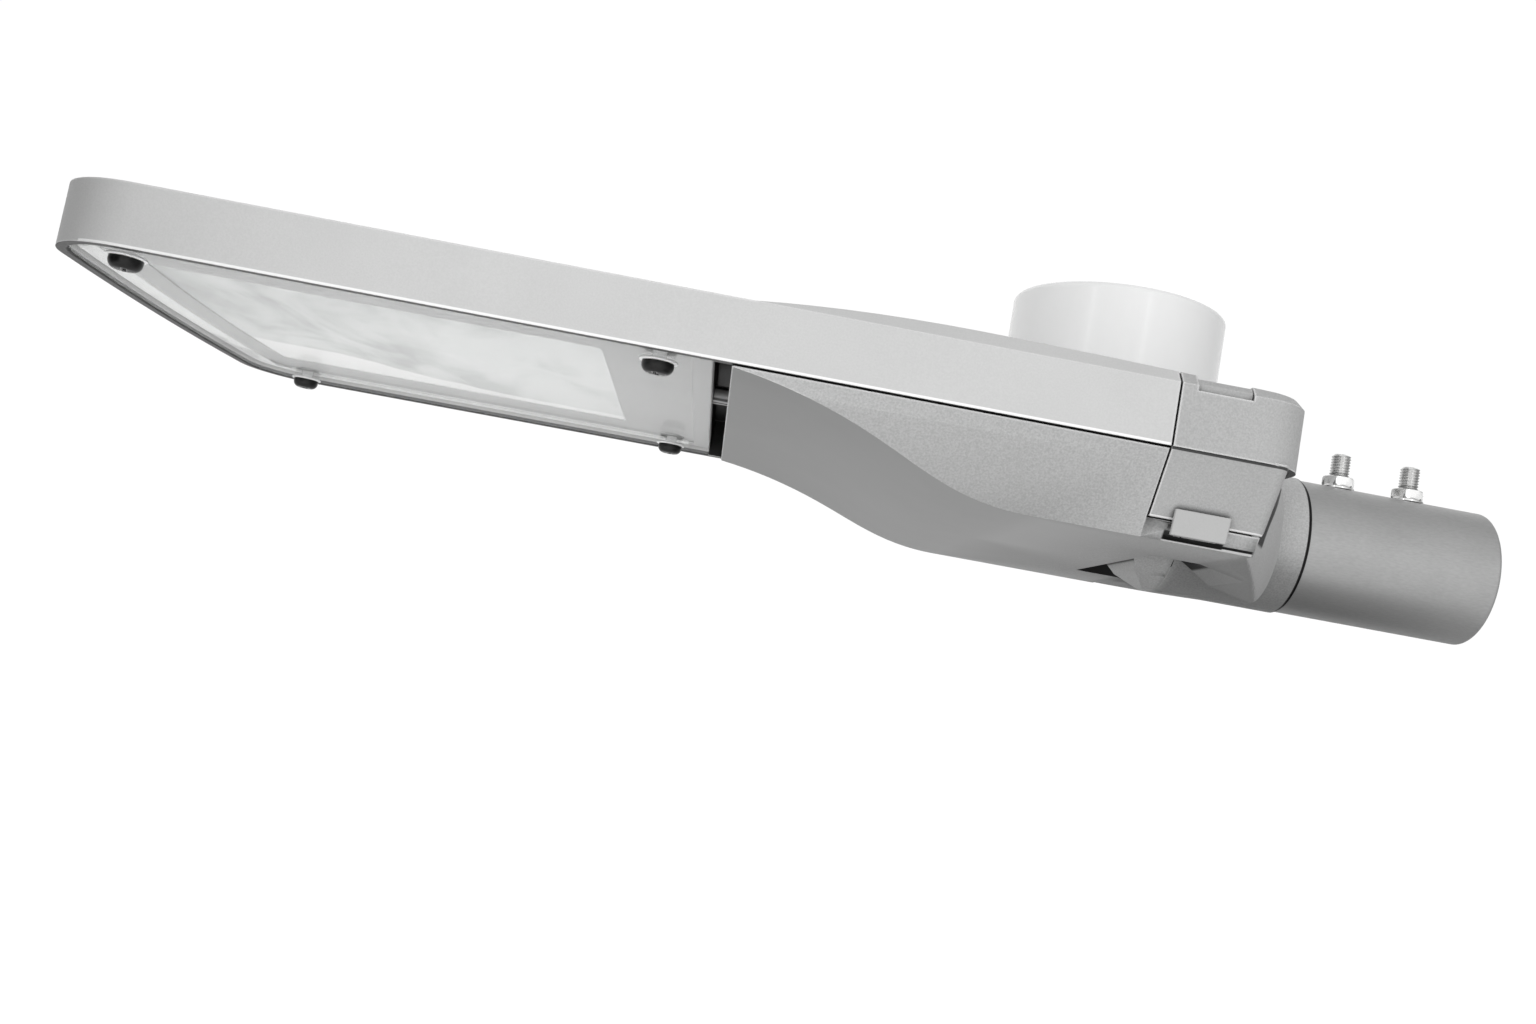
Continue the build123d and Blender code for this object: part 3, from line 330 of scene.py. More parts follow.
def housing_coat():
    """Textured coat, smooth and darker on the underside, darker still toward the bay, with painted
    shade on the neck's lower half and in the hollows, and a painted highlight on the edges."""
    grain_size, cloud_size = 0.0009, 0.05
    color = (0.455, 0.457, 0.456)
    smooth_dark, smooth_light = (0.298, 0.300, 0.299), (0.320, 0.322, 0.321)
    underside, smooth_forward = (0.62, 0.74), (0.195, 0.245)
    bay_forward, bay_darkening = (0.20, 0.40), 0.52
    neck_x, neck_shade_depth = (-0.1680, -0.1600), 0.43
    neck_side, neck_below = (0.35, 0.60), (0.1, 0.6)
    material, tree, shader = new_material("housing_coat", color, 0.5)
    x, _, _ = place_on_part(tree)
    side_x, _, side_z = facing(tree)
    forward, downward = negative(tree, x), negative(tree, side_z)
    fine = noise(tree, grain_size, rough=0.6)
    textured = swing(tree, ramp(tree, fine, (0.35, 0.0), (0.66, 1.0)), color, 0.13)
    smooth = mix(tree, cloudy(tree, noise(tree, cloud_size)), smooth_dark, smooth_light)
    near_bay = times(tree, step_up(tree, forward, *bay_forward), bay_darkening)
    smooth = mix(tree, near_bay, smooth, grey(0.0))
    smooth_area = region(tree, (downward, underside, None), (forward, smooth_forward, None))
    neck = region(tree, (x, neck_x, None), (absolute(tree, side_x), None, neck_side),
                  (downward, neck_below, None))
    base = mix(tree, smooth_area, textured, smooth)
    # Painted shade on the neck's lower half
    base = mix(tree, times(tree, neck, neck_shade_depth), base, grey(0.0))
    # Painted shade in the hollows
    base = painted_hollow_shade(tree, base, reach=0.014, depth=0.18)
    # Painted highlight on the edges
    painted_edge_highlight(tree, shader, base, radius=0.0016, lift=0.8, tint=grey(0.82))
    rough = mix(tree, smooth_area, grey(0.5), grey(0.34))
    tree.links.new(rough, shader.inputs["Roughness"])
    height = times(tree, fine, opposite(tree, smooth_area))
    bump(tree, shader, height, strength=0.5, distance=0.0003, edge=0.0009)
    return material


def housing_paint(material):
    """Painted shade in the pocket and the black lines and gaps, and a painted highlight on the rim
    of the strip under the skirt.
    """
    tree, shader = shader_of(material)
    x, y, z = place_on_part(tree)
    side_x, side_y, _ = facing(tree)
    out_y, out_side = absolute(tree, y), absolute(tree, side_y)

    # Painted shade on the roof and far wall of the pocket
    roof_front_x, roof_rear_x, roof_y = (-0.1885, -0.1880), (-0.1500, -0.1480), (0.0685, 0.0688)
    roof_low_z, roof_high_z, roof_side = (-0.0250, -0.0240), (-0.0160, -0.0150), (0.25, 0.35)
    wall_front_x, wall_rear_x = (-0.1900, -0.1890), (-0.1420, -0.1400)
    wall_near_y, wall_far_y, wall_top_z = (0.0680, 0.0686), (0.0695, 0.0700), (-0.0140, -0.0130)
    wall_side = (0.9, 0.97)
    roof_shade = region(tree, (x, roof_front_x, roof_rear_x), (out_y, None, roof_y),
                  (z, roof_low_z, roof_high_z), (out_side, None, roof_side))
    far_wall_shade = region(tree, (x, wall_front_x, wall_rear_x), (y, wall_near_y, wall_far_y),
                      (z, None, wall_top_z), (negative(tree, side_y), wall_side, None))
    paint(tree, shader, either(tree, roof_shade, far_wall_shade), grey(0.02))

    # Strip that the latch plate bridges: a painted highlight on its lower rim, and painted shade
    # in a gap before the plate and in a line along its foot
    strip_front_x, strip_rear_x = (-0.2035, -0.2025), (-0.1630, -0.1620)
    strip_y, strip_side = (0.1250, 0.1260), (0.7, 0.75)
    gap_rear_x, gap_low_z, gap_high_z = (-0.1765, -0.1755), (-0.0251, -0.0249), (-0.0215, -0.0205)
    line_low_z, line_high_z = (-0.0247, -0.0245), (-0.0236, -0.0234)
    strip = region(tree, (out_side, strip_side, None), (out_y, strip_y, None),
                   (x, strip_front_x, strip_rear_x))
    latch_gap_shade = region(tree, (x, None, gap_rear_x), (z, gap_low_z, gap_high_z))
    strip_shade_line = region(tree, (z, line_low_z, line_high_z))
    strip_highlight = region(tree, (z, None, line_low_z))
    paint(tree, shader, times(tree, strip, strip_highlight), grey(0.90))
    strip_shade = times(tree, strip, either(tree, latch_gap_shade, strip_shade_line))

    # Painted shade in a curved line at the foot of the neck's flare, in the mouth of the collar
    # and in the slot behind the pane
    foot_z, lean, curl = -0.016, 0.35, 13.0
    foot_start_x, foot_end_x, foot_side = (-0.1570, -0.1560), (-0.1500, -0.1490), (0.4, 0.5)
    foot_low_z, foot_high_z = (-0.0190, -0.0170), (0.0300, 0.0310)
    mouth_x = (-0.1013, -0.1010)
    slot_rear_x, slot_low_z = (-0.3978, -0.3974), (0.0100, 0.0104)
    rise = plus(tree, z, -foot_z)
    reach = plus(tree, times(tree, rise, lean), times(tree, rise, rise, curl))
    past = calc(tree, "SUBTRACT", x, reach)
    flare_foot_shade = region(tree, (past, foot_start_x, foot_end_x), (side_x, foot_side, None),
                        (z, foot_low_z, foot_high_z))
    mouth_shade = step_up(tree, x, *mouth_x)
    slot = region(tree, (x, None, slot_rear_x), (z, slot_low_z, None))
    paint(tree, shader, either(tree, mouth_shade, flare_foot_shade, strip_shade, slot), grey(0.006))


# Metals, plastics, seals
def satin_metal(name, color, rough, metal, edge, spread, brush=(1, 1, 1), spec=0.5):
    """Brushed or blasted metal; brush stretches its lines."""
    material, tree, shader = new_material(name, color, rough, metal, spec)
    line_size, wave_size = 0.0007, 0.02
    lines = noise(tree, line_size, detail=2.0, scale=brush)
    waves = ramp(tree, noise(tree, wave_size), (0.3, 0.95), (0.7, 1.0))
    base = mix(tree, 1.0, swing(tree, cloudy(tree, lines), color, spread), waves, "MULTIPLY")
    tree.links.new(base, shader.inputs["Base Color"])
    roughness = ramp(tree, lines, (0.3, rough + 0.06), (0.7, rough - 0.04))
    tree.links.new(roughness, shader.inputs["Roughness"])
    bump(tree, shader, lines, strength=0.05, distance=0.0002, edge=edge)
    return material


def moulded(name, color, rough, grain=0.04):
    """Moulded plastic or rubber with a fine grain."""
    material, tree, shader = new_material(name, color, rough)
    grain_size, cloud_size = 0.0016, 0.025
    fine = noise(tree, grain_size, rough=0.6)
    base = swing(tree, cloudy(tree, noise(tree, cloud_size)), color, share=0.03)
    tree.links.new(base, shader.inputs["Base Color"])
    roughness = ramp(tree, fine, (0.3, rough + 0.04), (0.7, max(0.03, rough - 0.03)))
    tree.links.new(roughness, shader.inputs["Roughness"])
    bump(tree, shader, fine, strength=grain, distance=0.0002, edge=0.0005)
    return material


def thread_shade(material):
    """Painted shade in the thread's valleys and under the nut's flange."""
    tree, shader = shader_of(material)
    worn = shader.inputs["Base Color"].links[0].from_socket
    # Painted shade in the hollows
    shaded = painted_hollow_shade(tree, worn, reach=0.0030, depth=0.02)
    tree.links.new(shaded, shader.inputs["Base Color"])


def tube_seam_shade(material):
    """Painted shadow in the joint where the tube meets the collar."""
    tree, shader = shader_of(material)
    joint_x = (-0.0994, -0.0991)
    x, _, _ = place_on_part(tree)
    # Painted shadow in the joint
    paint(tree, shader, step_down(tree, x, *joint_x), grey(0.006))


def gasket_tones(material):
    """Bare silicone at the front and far sides, with a faint painted glow, and mask paint over the
    rest.
    """
    tree, shader = shader_of(material)
    front_strip_x, far_strip_y = (-0.6740, -0.6735), (0.1385, 0.1390)
    bare_end_x = (-0.4200, -0.4195)
    x, y, _ = place_on_part(tree)
    sides = either(tree, step_down(tree, x, *front_strip_x), step_up(tree, y, *far_strip_y))
    bare = times(tree, sides, step_down(tree, x, *bare_end_x))
    paint(tree, shader, opposite(tree, bare), mask_tone)
    # Painted light: the bare silicone glows faintly
    emit(tree, shader, grey(1.0), times(tree, bare, 0.16))


def conduit_coat():
    """Dark ribbed conduit."""
    material, tree, shader = new_material("conduit_grey", grey(0.10), 0.35)
    rib = add(tree, "ShaderNodeTexWave", Scale=160.0, Distortion=0.0, wave_type="BANDS",
              bands_direction="Y")
    tree.links.new(coords(tree), rib.inputs["Vector"])
    tone = ramp(tree, rib.outputs["Fac"], (0.25, 0.03), (0.75, 0.34))
    tree.links.new(tone, shader.inputs["Base Color"])
    bump(tree, shader, rib.outputs["Fac"], strength=0.3, distance=0.0003)
    return material


def cell_plastic():
    """Glossy white cover with a faint moulding haze."""
    material, tree, shader = new_material("cell_cover", (0.84, 0.845, 0.845), 0.24)
    shader.inputs["Coat Weight"].default_value = 0.2
    shader.inputs["Coat Roughness"].default_value = 0.06
    shader.inputs["Subsurface Weight"].default_value = 0.08
    shader.inputs["Subsurface Radius"].default_value = (0.004, 0.004, 0.004)
    haze = cloudy(tree, noise(tree, 0.03, detail=4.0, scale=(1, 1, 0.4)))
    base = mix(tree, haze, (0.835, 0.838, 0.837), (0.875, 0.878, 0.877))
    tree.links.new(base, shader.inputs["Base Color"])
    fine = noise(tree, 0.003, detail=2.0)
    bump(tree, shader, fine, strength=0.02, distance=0.0002, edge=0.0006)
    return material


def window_sheet():
    """Opal sheet with drifting cloudy tones, paler to the rear, with a painted reflection along
    its far side and a faint painted glow.
    """
    material, tree, shader = new_material("window_sheet", (0.76, 0.78, 0.78), 0.22)
    x, y, _ = place_on_part(tree)
    clouds = noise(tree, 0.045, detail=5.0, rough=0.55, scale=(1, 0.42, 1), distortion=0.6)
    wisps = noise(tree, 0.024, detail=4.0, rough=0.6, scale=(1, 0.45, 1), distortion=0.4)
    base = mix(tree, ramp(tree, clouds, (0.40, 0.0), (0.58, 1.0)),
               (0.52, 0.53, 0.525), (0.76, 0.772, 0.765))
    pale_wisps = times(tree, ramp(tree, wisps, (0.48, 0.0), (0.68, 1.0)), 0.4)
    base = mix(tree, pale_wisps, base, (0.84, 0.852, 0.848))
    rear_x, bend_x, far_strip_y = (-0.62, -0.45), (-0.64, -0.51), (0.0520, 0.0570)
    toward_rear = times(tree, step_up(tree, x, *rear_x), 0.5)
    base = mix(tree, toward_rear, base, (0.90, 0.91, 0.905))
    # Painted reflection: a pale strip with a wavy edge along the far side
    wave_height, bend_depth = 0.022, -0.042
    edge = noise(tree, 0.034, detail=4.0, rough=0.6, scale=(1, 0.15, 1))
    wave = times(tree, calc(tree, "SUBTRACT", edge, 0.5), wave_height)
    bend = times(tree, step_up(tree, x, *bend_x), bend_depth)
    far_reflection = step_up(tree, plus(tree, y, wave, bend), *far_strip_y)
    base = mix(tree, far_reflection, base, (1.0, 1.0, 0.995))
    tree.links.new(base, shader.inputs["Base Color"])
    # Painted light: the sheet glows faintly in its own colour
    emit(tree, shader, base, strength=0.22)
    bump(tree, shader, wisps, strength=0.03, distance=0.0003)
    return material


def clear_glass():
    """Thin clear pane: it lets the sheet behind show and mirrors softly."""
    material, tree, shader = new_material("clear_pane", (0.55, 0.56, 0.56), 0.03)
    shader.inputs["Alpha"].default_value = 0.22
    shader.inputs["IOR"].default_value = 1.5
    film = ramp(tree, noise(tree, 0.06), (0.3, 0.02), (0.7, 0.05))
    tree.links.new(film, shader.inputs["Roughness"])
    return material


def pan_head_black():
    """Blackened head with a painted highlight on its edges; the shank wears a pale sleeve inside
    the pane, with a faint painted glow.
    """
    material, tree, shader = new_material("pan_head_black", grey(0.010), 0.30, spec=0.28)
    lines = noise(tree, 0.0007, detail=2.0)
    base = mix(tree, cloudy(tree, lines), grey(0.008), grey(0.014))
    # Painted highlight on the head's edges
    painted_edge_highlight(tree, shader, base, radius=0.00055, lift=0.9, tint=grey(0.85))
    sleeve_z = (0.0110, 0.0113)
    _, _, z = place_on_part(tree)
    sleeve = step_up(tree, z, *sleeve_z)
    paint(tree, shader, sleeve, grey(0.62))
    # Painted light: the sleeve glows faintly
    emit(tree, shader, grey(1.0), times(tree, sleeve, 0.34))
    bump(tree, shader, lines, strength=0.05, distance=0.0002, edge=0.0003)
    return material


mask_tone = (0.69, 0.692, 0.69)
band_coat = powder_coat("band_coat", (0.60, 0.602, 0.60), grain=0.20, rough=0.46, edge=0.0012,
                        fleck=0.03)
rim_paint(band_coat)
hood_coat = powder_coat("hood_coat", (0.440, 0.442, 0.441), grain=0.42, rough=0.48, edge=0.0012,
                        fleck=0.09)
crease_paint(hood_coat)
block_coat = powder_coat("block_coat", (0.42, 0.422, 0.421), grain=0.42, rough=0.48, edge=0.0006,
                         fleck=0.09, glow=0.25)
housing = housing_coat()
housing_paint(housing)
latch_coat = satin_metal("latch_coat", (0.475, 0.477, 0.475), rough=0.34, metal=0.2,
                         edge=0.0006, spread=0.02)
tube_coat = satin_metal("tube_coat", (0.39, 0.391, 0.390), rough=0.42, metal=0.5,
                        brush=(0.25, 1, 1), edge=0.0006, spread=0.05)
tube_seam_shade(tube_coat)
zinc = satin_metal("zinc_plate", (0.80, 0.80, 0.795), rough=0.14, metal=1.0,
                   brush=(1, 1, 8), edge=0.0002, spread=0.06)
thread_shade(zinc)
bright_steel = satin_metal("bright_steel", grey(0.66), rough=0.28, metal=1.0,
                           edge=0.0002, spread=0.05)
black_screw = satin_metal("black_screw", grey(0.012), rough=0.42, metal=0.0,
                          edge=0.0003, spread=0.1, spec=0.18)
brass = satin_metal("contact_brass", (0.80, 0.60, 0.28), rough=0.26, metal=1.0,
                    brush=(1, 1, 6), edge=0.0002, spread=0.06)
black_rubber = moulded("black_rubber", (0.022, 0.022, 0.023), rough=0.62, grain=0.12)
washer_seal = moulded("washer_seal", (0.80, 0.802, 0.80), rough=0.40)
pale_silicone = moulded("pale_silicone", (0.88, 0.882, 0.875), rough=0.5)
gasket_tones(pale_silicone)
mask_paint = moulded("mask_paint", mask_tone, rough=0.45, grain=0.02)
board_white = moulded("board_white", (0.86, 0.86, 0.85), rough=0.35)
phosphor = moulded("led_phosphor", (0.90, 0.74, 0.22), rough=0.3)
black_plastic = moulded("black_plastic", (0.028, 0.028, 0.029), rough=0.42, grain=0.1)
grey_plastic = moulded("grey_plastic", (0.44, 0.445, 0.45), rough=0.4, grain=0.08)
white_plastic = moulded("terminal_white", (0.80, 0.80, 0.78), rough=0.3)
driver_case = moulded("driver_case", (0.74, 0.74, 0.73), rough=0.4, grain=0.05)
pan_black = pan_head_black()

worn_by = {
    band_coat: ["canopy"],
    hood_coat: ["rear_hood"],
    block_coat: ["shoulder_block_near", "shoulder_block_far"],
    housing: ["gear_housing"],
    latch_coat: ["latch_plate_near", "latch_plate_far"],
    tube_coat: ["spigot_tube"],
    clear_glass(): ["front_glass"],
    pale_silicone: ["glass_gasket"],
    mask_paint: ["bezel_plate"],
    window_sheet(): ["diffuser_sheet"],
    pan_black: ["glass_screws"],
    washer_seal: ["glass_washers"],
    board_white: ["led_board_front", "led_board_rear"],
    phosphor: ["led_packages_front", "led_packages_rear"],
    conduit_coat(): ["lead_conduit"],
    zinc: ["spigot_set_screws", "spigot_lock_nuts"],
    black_screw: ["collar_grub_screws"],
    bright_steel: ["hood_hinge_pin", "latch_pin_near", "latch_pin_far", "diffuser_clips",
                   "board_screws", "receptacle_screws", "driver_screws", "surge_screws",
                   "terminal_screws", "clamp_screws"],
    black_rubber: ["cable_grommet", "receptacle_gasket", "photocell_seal", "compartment_seal"],
    black_plastic: ["photocell_receptacle", "photocell_base"],
    brass: ["receptacle_contacts", "photocell_blades"],
    cell_plastic(): ["photocell_cap"],
    driver_case: ["led_driver"],
    grey_plastic: ["surge_protector", "cable_clamp"],
    white_plastic: ["terminal_block"],
}
cad_smooth_angle = 28
for material, names in worn_by.items():
    for name in names:
        mesh = nodes[name].data
        mesh.materials.clear()
        mesh.materials.append(material)
        mesh.shade_smooth()
        mesh.set_sharp_from_angle(angle=math.radians(cad_smooth_angle))


# Mesh helpers
def ring(bm, place, radius, height, steps):
    """Points around the vertical through place; radius is a number or a function of the angle."""
    points = []
    for k in range(steps):
        angle = 2 * math.pi * k / steps
        r = radius(angle) if callable(radius) else radius
        points.append(bm.verts.new((place[0] + r * math.cos(angle), place[1] + r * math.sin(angle),
                                    height)))
    return points


def skin(bm, rings):
    """Faces from each ring to the next; a ring of one point is a tip."""
    for low, high in zip(rings, rings[1:]):
        steps = max(len(low), len(high))
        for k in range(steps):
            n = (k + 1) % steps
            corners = (low[k % len(low)], low[n % len(low)], high[n % len(high)],
                       high[k % len(high)])
            bm.faces.new(tuple(dict.fromkeys(corners)))


def close_ends(bm, rings):
    bm.faces.new(rings[0][::-1])
    bm.faces.new(rings[-1])


def mesh_of(bm, name):
    """Turns the faces outward and keeps them as a mesh."""
    bmesh.ops.recalc_face_normals(bm, faces=bm.faces)
    mesh = bpy.data.meshes.new(name)
    bm.to_mesh(mesh)
    bm.free()
    return mesh


def solid_between(name, rings, bm):
    skin(bm, rings)
    close_ends(bm, rings)
    return mesh_of(bm, name)


def finish_mesh(bm, name, material, body, smooth_angle):
    """Makes the mesh a piece of the scene that rides on a body."""
    bmesh.ops.remove_doubles(bm, verts=bm.verts, dist=1e-6)
    mesh = mesh_of(bm, name)
    mesh.shade_smooth()
    mesh.set_sharp_from_angle(angle=math.radians(smooth_angle))
    mesh.materials.append(material)
    piece = bpy.data.objects.new(name, mesh)
    scene.collection.objects.link(piece)
    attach(piece, body)
    return piece


def lathe(bm, profile, place, steps=56):
    """Turns a profile of (radius, height) pairs around the vertical through place."""
    rings = []
    for radius, height in profile:
        z = place[2] + height
        rings.append(ring(bm, place, radius, z, steps if radius else 1))
    skin(bm, rings)


def cut(piece, cutter_mesh, smooth_angle=35):
    """Takes the cutter's shape out of the piece and keeps the result."""
    cutter = bpy.data.objects.new("cutter", cutter_mesh)
    scene.collection.objects.link(cutter)
    modifier = piece.modifiers.new("cut", "BOOLEAN")
    modifier.operation = "DIFFERENCE"
    modifier.solver = "EXACT"
    modifier.object = cutter
    bpy.context.view_layer.update()
    cut_piece = piece.evaluated_get(bpy.context.evaluated_depsgraph_get())
    result = bpy.data.meshes.new_from_object(cut_piece)
    piece.modifiers.clear()
    old = piece.data
    result.materials.clear()
    result.materials.append(old.materials[0])
    result.polygons.foreach_set("material_index", [0] * len(result.polygons))
    piece.data = result
    bpy.data.meshes.remove(old)
    bpy.data.objects.remove(cutter)
    result.shade_smooth()
    result.set_sharp_from_angle(angle=math.radians(smooth_angle))


# Housing with its slanted sides run down to the underside, where the solid's stand upright
draft_slope = math.tan(math.radians(33.4))
front_x = -0.694            # front of the canopy
taper_length = 0.542        # over which the canopy's sides draw in
front_half_width = 0.1594
taper = 0.0042
parting_step = 0.0016       # housing inside the canopy at the parting line


def side_at(x, z):
    """Distance of the slanted side from the middle plane."""
    half_width = front_half_width - taper * (x - front_x) / taper_length
    return half_width - parting_step - (parting_z - z) * draft_slope


def outside_wedge(side):
    """What lies outside one slanted side, from just under the parting line down."""
    bay_x, hood_x = -0.420, -0.2112
    top, low, out, clear = 0.0080, -0.0450, 0.170, 0.00002
    bm = bmesh.new()
    ends = []
    for x in (bay_x, hood_x):
        section = ((side_at(x, top) + clear, top), (out, top), (out, low),
                   (side_at(x, low) + clear, low))
        ends.append([bm.verts.new((x, side * y, z)) for y, z in section])
    return solid_between("wedge", ends, bm)


bm = bmesh.new()
bm.from_mesh(nodes["gear_housing"].data)
casting = finish_mesh(bm, "housing_casting", housing, "head", cad_smooth_angle)
for side in (-1, 1):
    cut(casting, outside_wedge(side), cad_smooth_angle)
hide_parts("gear_housing")

# Threaded set screws and their flanged nuts on the spigot
screw_spots = [(-0.075, 0.0), (-0.0375, 0.0)]
screw_radius, thread_depth, thread_pitch = 0.005, 0.00062, 0.0015
socket_radius, socket_depth = 0.0029, 0.005
nut_across_flats = 0.0150
nut_corner = nut_across_flats / math.sqrt(3)


def chamfered_flat(angle, drop):
    """Distance to the nut's side, with its corners turned down by drop."""
    side = nut_corner * math.cos(math.pi / 6) / math.cos(angle % (math.pi / 3) - math.pi / 6)
    return min(side, nut_corner - drop)


def thread_radius(angle, z):
    """Radius of the helical thread, chamfered at the screw's top."""
    chamfer, chamfer_slope = 0.0009, 0.9
    flank_rate, crest_flat = 1.25, 0.12
    phase = ((z - screw_foot) / thread_pitch - angle / (2 * math.pi)) % 1.0
    wave = abs(2 * phase - 1)
    valley = thread_depth * min(1.0, max(0.0, flank_rate * wave - crest_flat))
    return screw_radius - valley - max(0.0, z - (screw_top - chamfer)) * chamfer_slope


def threaded_rod(bm, place):
    """Set screw with a true helical thread."""
    rows_per_turn, steps = 10, 40
    rows = int((screw_top - screw_foot) / thread_pitch * rows_per_turn) + 1
    rings = []
    for row in range(rows + 1):
        z = screw_foot + (screw_top - screw_foot) * row / rows
        rings.append(ring(bm, place, lambda angle: thread_radius(angle, z), z, steps))
    skin(bm, rings)
    close_ends(bm, rings)


def hexagon_socket(place):
    """Prism that stands a little proud of the screw's top, to cut its socket."""
    proud = 0.001
    bm = bmesh.new()
    ends = [ring(bm, place, socket_radius, z, 6) for z in (screw_top - socket_depth,
                                                          screw_top + proud)]
    return solid_between("hexagon", ends, bm)


def flanged_nut(bm, place, steps=72):
    """Hexagon nut with a chamfered top, a round flange below and a bore, as one closed skin
    over (radius, height) and (height, drop) pairs."""
    def round_rings(rows):
        return [ring(bm, place, radius, seat_z + height, steps) for radius, height in rows]

    bore = round_rings(((0.0056, 0.0065), (0.00504, 0.0060), (0.00504, 0.0)))
    flange = round_rings(((0.0084, 0.0), (0.0084, 0.0009), (0.0080, 0.0013)))
    flats = []
    for height, drop in ((0.0020, 0.0), (0.0052, 0.0), (0.0061, 0.0006), (0.0065, 0.0014)):
        flats.append(ring(bm, place, lambda angle: chamfered_flat(angle, drop),
                          seat_z + height, steps))
    skin(bm, [bore[-1]] + flange + flats + bore)


for index, spot in enumerate(screw_spots):
    bm = bmesh.new()
    threaded_rod(bm, spot)
    screw = finish_mesh(bm, f"set_screw_thread_{index + 1}", zinc, "head",
                        smooth_angle=50)
    cut(screw, hexagon_socket(spot))
    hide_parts("spigot_set_screws")

    bm = bmesh.new()
    flanged_nut(bm, spot)
    nut = finish_mesh(bm, f"lock_nut_{index + 1}", zinc, "head",
                      smooth_angle=30)
    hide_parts("spigot_lock_nuts")

# Pan-head screws with a cross recess, which hold the glass, and their seal rings
pan_spots = [(-0.6555, -0.141), (-0.6555, 0.141), (-0.430, -0.131), (-0.430, 0.131)]
head_radius, head_height, head_round = 0.0071, 0.0052, 0.0034
shank_radius, shank_length = 0.00295, 0.014
seal_inner, seal_radius, seal_height = 0.0033, 0.0085, 0.0010
head_low = glass_z - seal_height - head_height


def pan_profile():
    """Slightly domed face, rounded rim, flat back and shank."""
    arc_steps, arc_start, rise = 8, 0.00012, 0.0036
    face_radius, face_dome = 0.0032, 0.00008
    profile = [(0.0, 0.0), (face_radius, face_dome)]
    for k in range(1, arc_steps + 1):
        angle = math.pi / 2 * k / arc_steps
        profile.append((head_radius - head_round + head_round * math.sin(angle),
                        arc_start + rise * (1 - math.cos(angle))))
    shank_end = head_height + shank_length
    return profile + [(head_radius, head_height), (shank_radius, head_height),
                      (shank_radius, shank_end), (0.0, shank_end)]


def recess_wing(place, turn):
    """One tapered wing of the cross recess, wide at the head's face."""
    reach, width, depth, proud = 0.0040, 0.0010, 0.0026, 0.0012
    lip, narrowing = 0.0006, 0.4
    bm = bmesh.new()
    levels = []
    for share, height in ((1.05, -proud), (1.0, lip), (0.45, depth)):
        level = []
        for end, side in ((-1, -1), (1, -1), (1, 1), (-1, 1)):
            px = end * reach * share
            py = side * width * (1 - narrowing + narrowing * share)
            level.append(bm.verts.new((place[0] + px * math.cos(turn) - py * math.sin(turn),
                                       place[1] + px * math.sin(turn) + py * math.cos(turn),
                                       place[2] + height)))
        levels.append(level)
    return solid_between("recess", levels, bm)


for index, (x, y) in enumerate(pan_spots):
    place = (x, y, head_low)
    bm = bmesh.new()
    lathe(bm, pan_profile(), place)
    screw = finish_mesh(bm, f"pan_screw_{index + 1}", pan_black, "head",
                        smooth_angle=32)
    turn = 0.35 + 0.5 * index
    for wing_turn in (turn, turn + math.pi / 2):
        cut(screw, recess_wing(place, wing_turn))
    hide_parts("glass_screws")

    bevel = 0.0003
    bm = bmesh.new()
    lathe(bm, [(seal_inner, 0.0), (seal_radius - bevel, 0.0), (seal_radius, bevel),
               (seal_radius, seal_height - bevel), (seal_radius - bevel, seal_height),
               (seal_inner, seal_height), (seal_inner, 0.0)], (x, y, glass_z - seal_height))
    seal = finish_mesh(bm, f"seal_ring_{index + 1}", washer_seal, "head",
                       smooth_angle=40)
    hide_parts("glass_washers")


# Studio: pale floor, white surround, large soft lights
def stage_plane(name, size, place, color):
    bpy.ops.mesh.primitive_plane_add(size=size, location=place)
    plane = bpy.context.object
    plane.name = name
    material, _, _ = new_material(name, color, 0.8, spec=0.1)
    plane.data.materials.append(material)
    return plane


def dark_flag(name, size, place, turn=(0, 0, 0)):
    """Black card that shades the part, unseen by the camera."""
    flag = stage_plane(name, size, place, grey(0.02))
    flag.rotation_euler = [math.radians(angle) for angle in turn]
    flag.visible_camera = False
    flag.visible_shadow = False


def surround(base, front, back, up, dark_left, dark_right):
    """White backdrop for the view; the light that reaches the object comes from the front, and
    from behind above the ground, and falls off to the sides."""
    world = bpy.data.worlds.new("surround")
    world.use_nodes = True
    tree = world.node_tree
    x, y, z = split(tree, add(tree, "ShaderNodeTexCoord").outputs["Generated"])
    ahead = times(tree, calc(tree, "MAXIMUM", negative(tree, y), 0.0), front)
    behind = times(tree, step_up(tree, y, 0.25, 0.75), step_up(tree, z, -0.30, 0.10), back)
    level = plus(tree, ahead, behind, base, times(tree, z, up))
    left = step_up(tree, negative(tree, x), 0.15, 0.85)
    right = step_up(tree, x, 0.3, 0.95)
    for side, darkening in ((left, dark_left), (right, dark_right)):
        level = times(tree, level, opposite(tree, times(tree, side, darkening)))
    light = tree.nodes["Background"]
    light.inputs["Color"].default_value = (1, 1, 1, 1)
    tree.links.new(calc(tree, "MAXIMUM", level, 0.03), light.inputs["Strength"])
    backdrop = add(tree, "ShaderNodeBackground", Color=(1, 1, 1, 1), Strength=1.02)
    path = add(tree, "ShaderNodeLightPath")
    blend = add(tree, "ShaderNodeMixShader")
    tree.links.new(path.outputs["Is Camera Ray"], blend.inputs["Fac"])
    tree.links.new(light.outputs[0], blend.inputs[1])
    tree.links.new(backdrop.outputs[0], blend.inputs[2])
    tree.links.new(blend.outputs[0], tree.nodes["World Output"].inputs["Surface"])
    scene.world = world


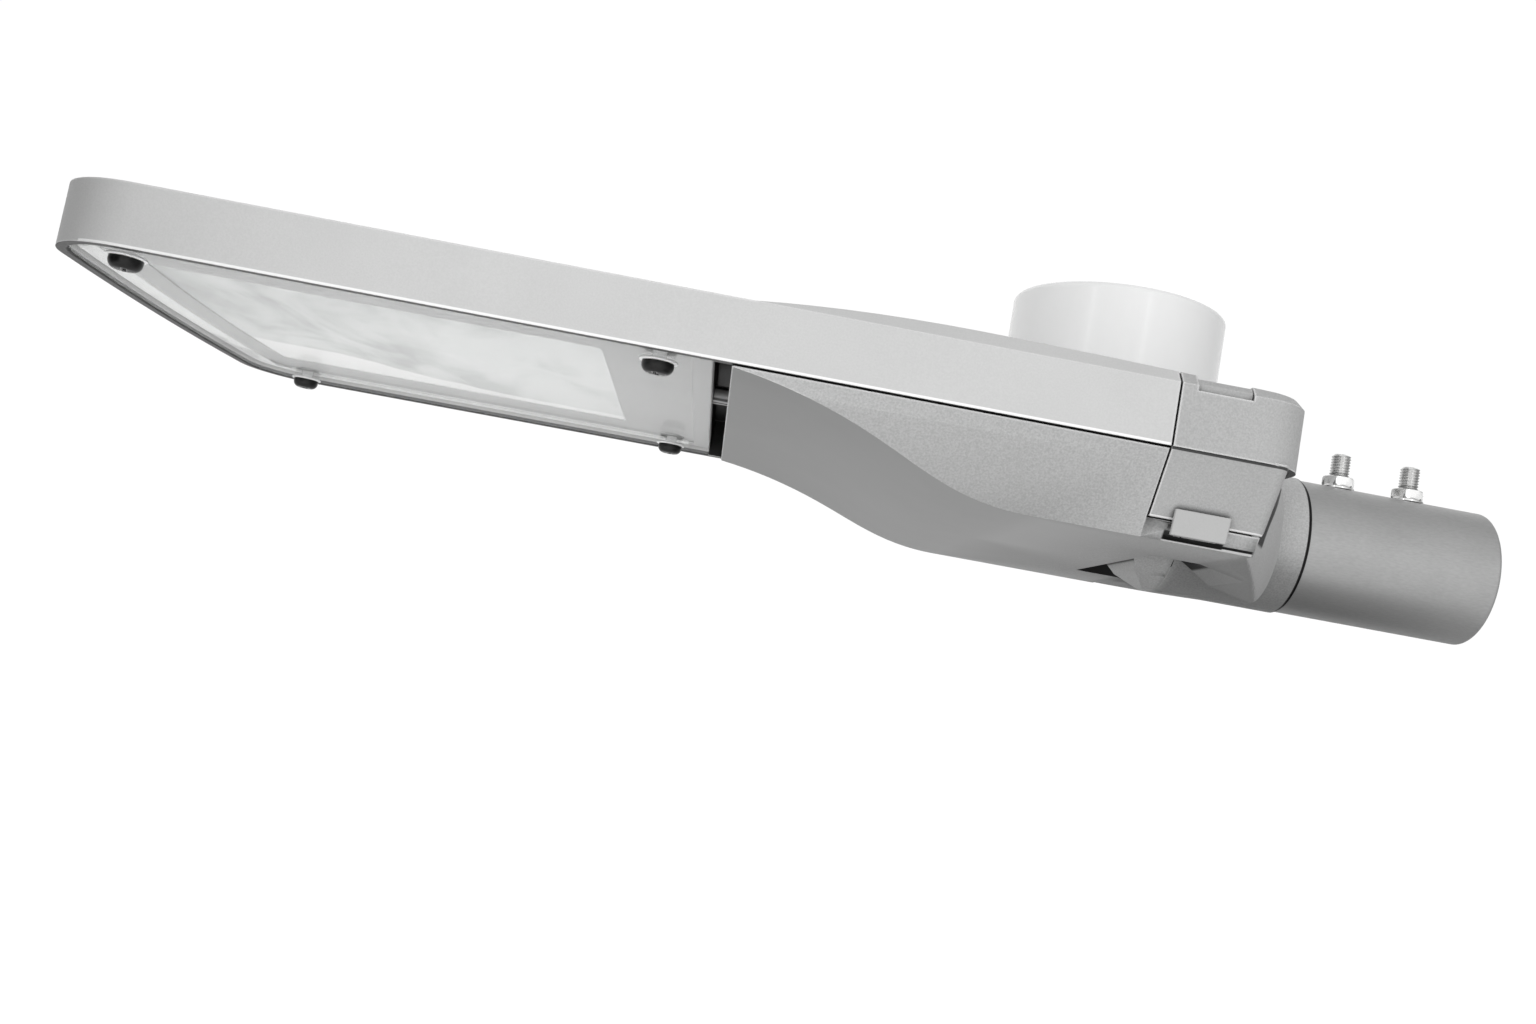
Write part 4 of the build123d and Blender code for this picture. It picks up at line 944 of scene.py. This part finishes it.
def soft_light(name, place, target, size, power):
    light = bpy.data.lights.new(name, "AREA")
    light.shape = "RECTANGLE"
    light.size, light.size_y = size
    light.energy = power
    lamp = bpy.data.objects.new(name, light)
    lamp.location = place
    direction = Vector(target) - Vector(place)
    lamp.rotation_mode = "QUATERNION"
    lamp.rotation_quaternion = direction.to_track_quat("-Z", "Y")
    scene.collection.objects.link(lamp)
    return lamp


floor = stage_plane("floor", 60.0, (0, 0, -4.0), grey(0.9))
emit(*shader_of(floor.data.materials[0]), grey(1.0), 0.75)
floor.visible_diffuse = False
floor.visible_glossy = False
surround(base=0.62, front=0.74, back=0.45, up=-0.06, dark_left=0.05, dark_right=0.35)

# Flags beside the front corner and below the neck
dark_flag("side_flag", 0.20, (-0.765, -0.205, 0.02), (0, 90, 38))
dark_flag("low_flag", 0.36, (-0.10, 0.0, -0.24))

# Soft light under the optical bay
bay_light = soft_light("bay_light", (-0.56, -0.04, -0.55), (-0.56, -0.02, 0), (0.34, 0.30), 0.30)
bay_light.data.spread = math.radians(60)
bay_light.visible_glossy = False

# Tall narrow lights that draw soft upright lines on the glossy cover
cell_middle = (-0.204, 0, 0.08)
soft_light("strip_right", (0.356, -1.91, 0.35), cell_middle, (0.14, 1.2), 1.3)
soft_light("strip_left", (-1.53, -1.49, 0.30), cell_middle, (0.14, 1.0), 1.1)

# Camera at the photograph's place, from the fit of camera and sizes
camera = bpy.data.cameras.new("camera")
camera.sensor_width = 36.0
camera.lens = 34.3247
camera.clip_start = 0.01
camera.clip_end = 100
eye = Vector((-0.39073, -0.75324, -0.10502))
right = Vector((0.98300, -0.04661, 0.17761))
up = Vector((-0.18121, -0.08986, 0.97933))
ahead = Vector((0.02969, 0.99486, 0.09677))
viewer = bpy.data.objects.new("camera", camera)
scene.collection.objects.link(viewer)
viewer.matrix_world = Matrix.Translation(eye) @ Matrix((right, up, -ahead)).transposed().to_4x4()
scene.camera = viewer
scene.view_settings.view_transform = "Standard"
scene.view_settings.look = "None"
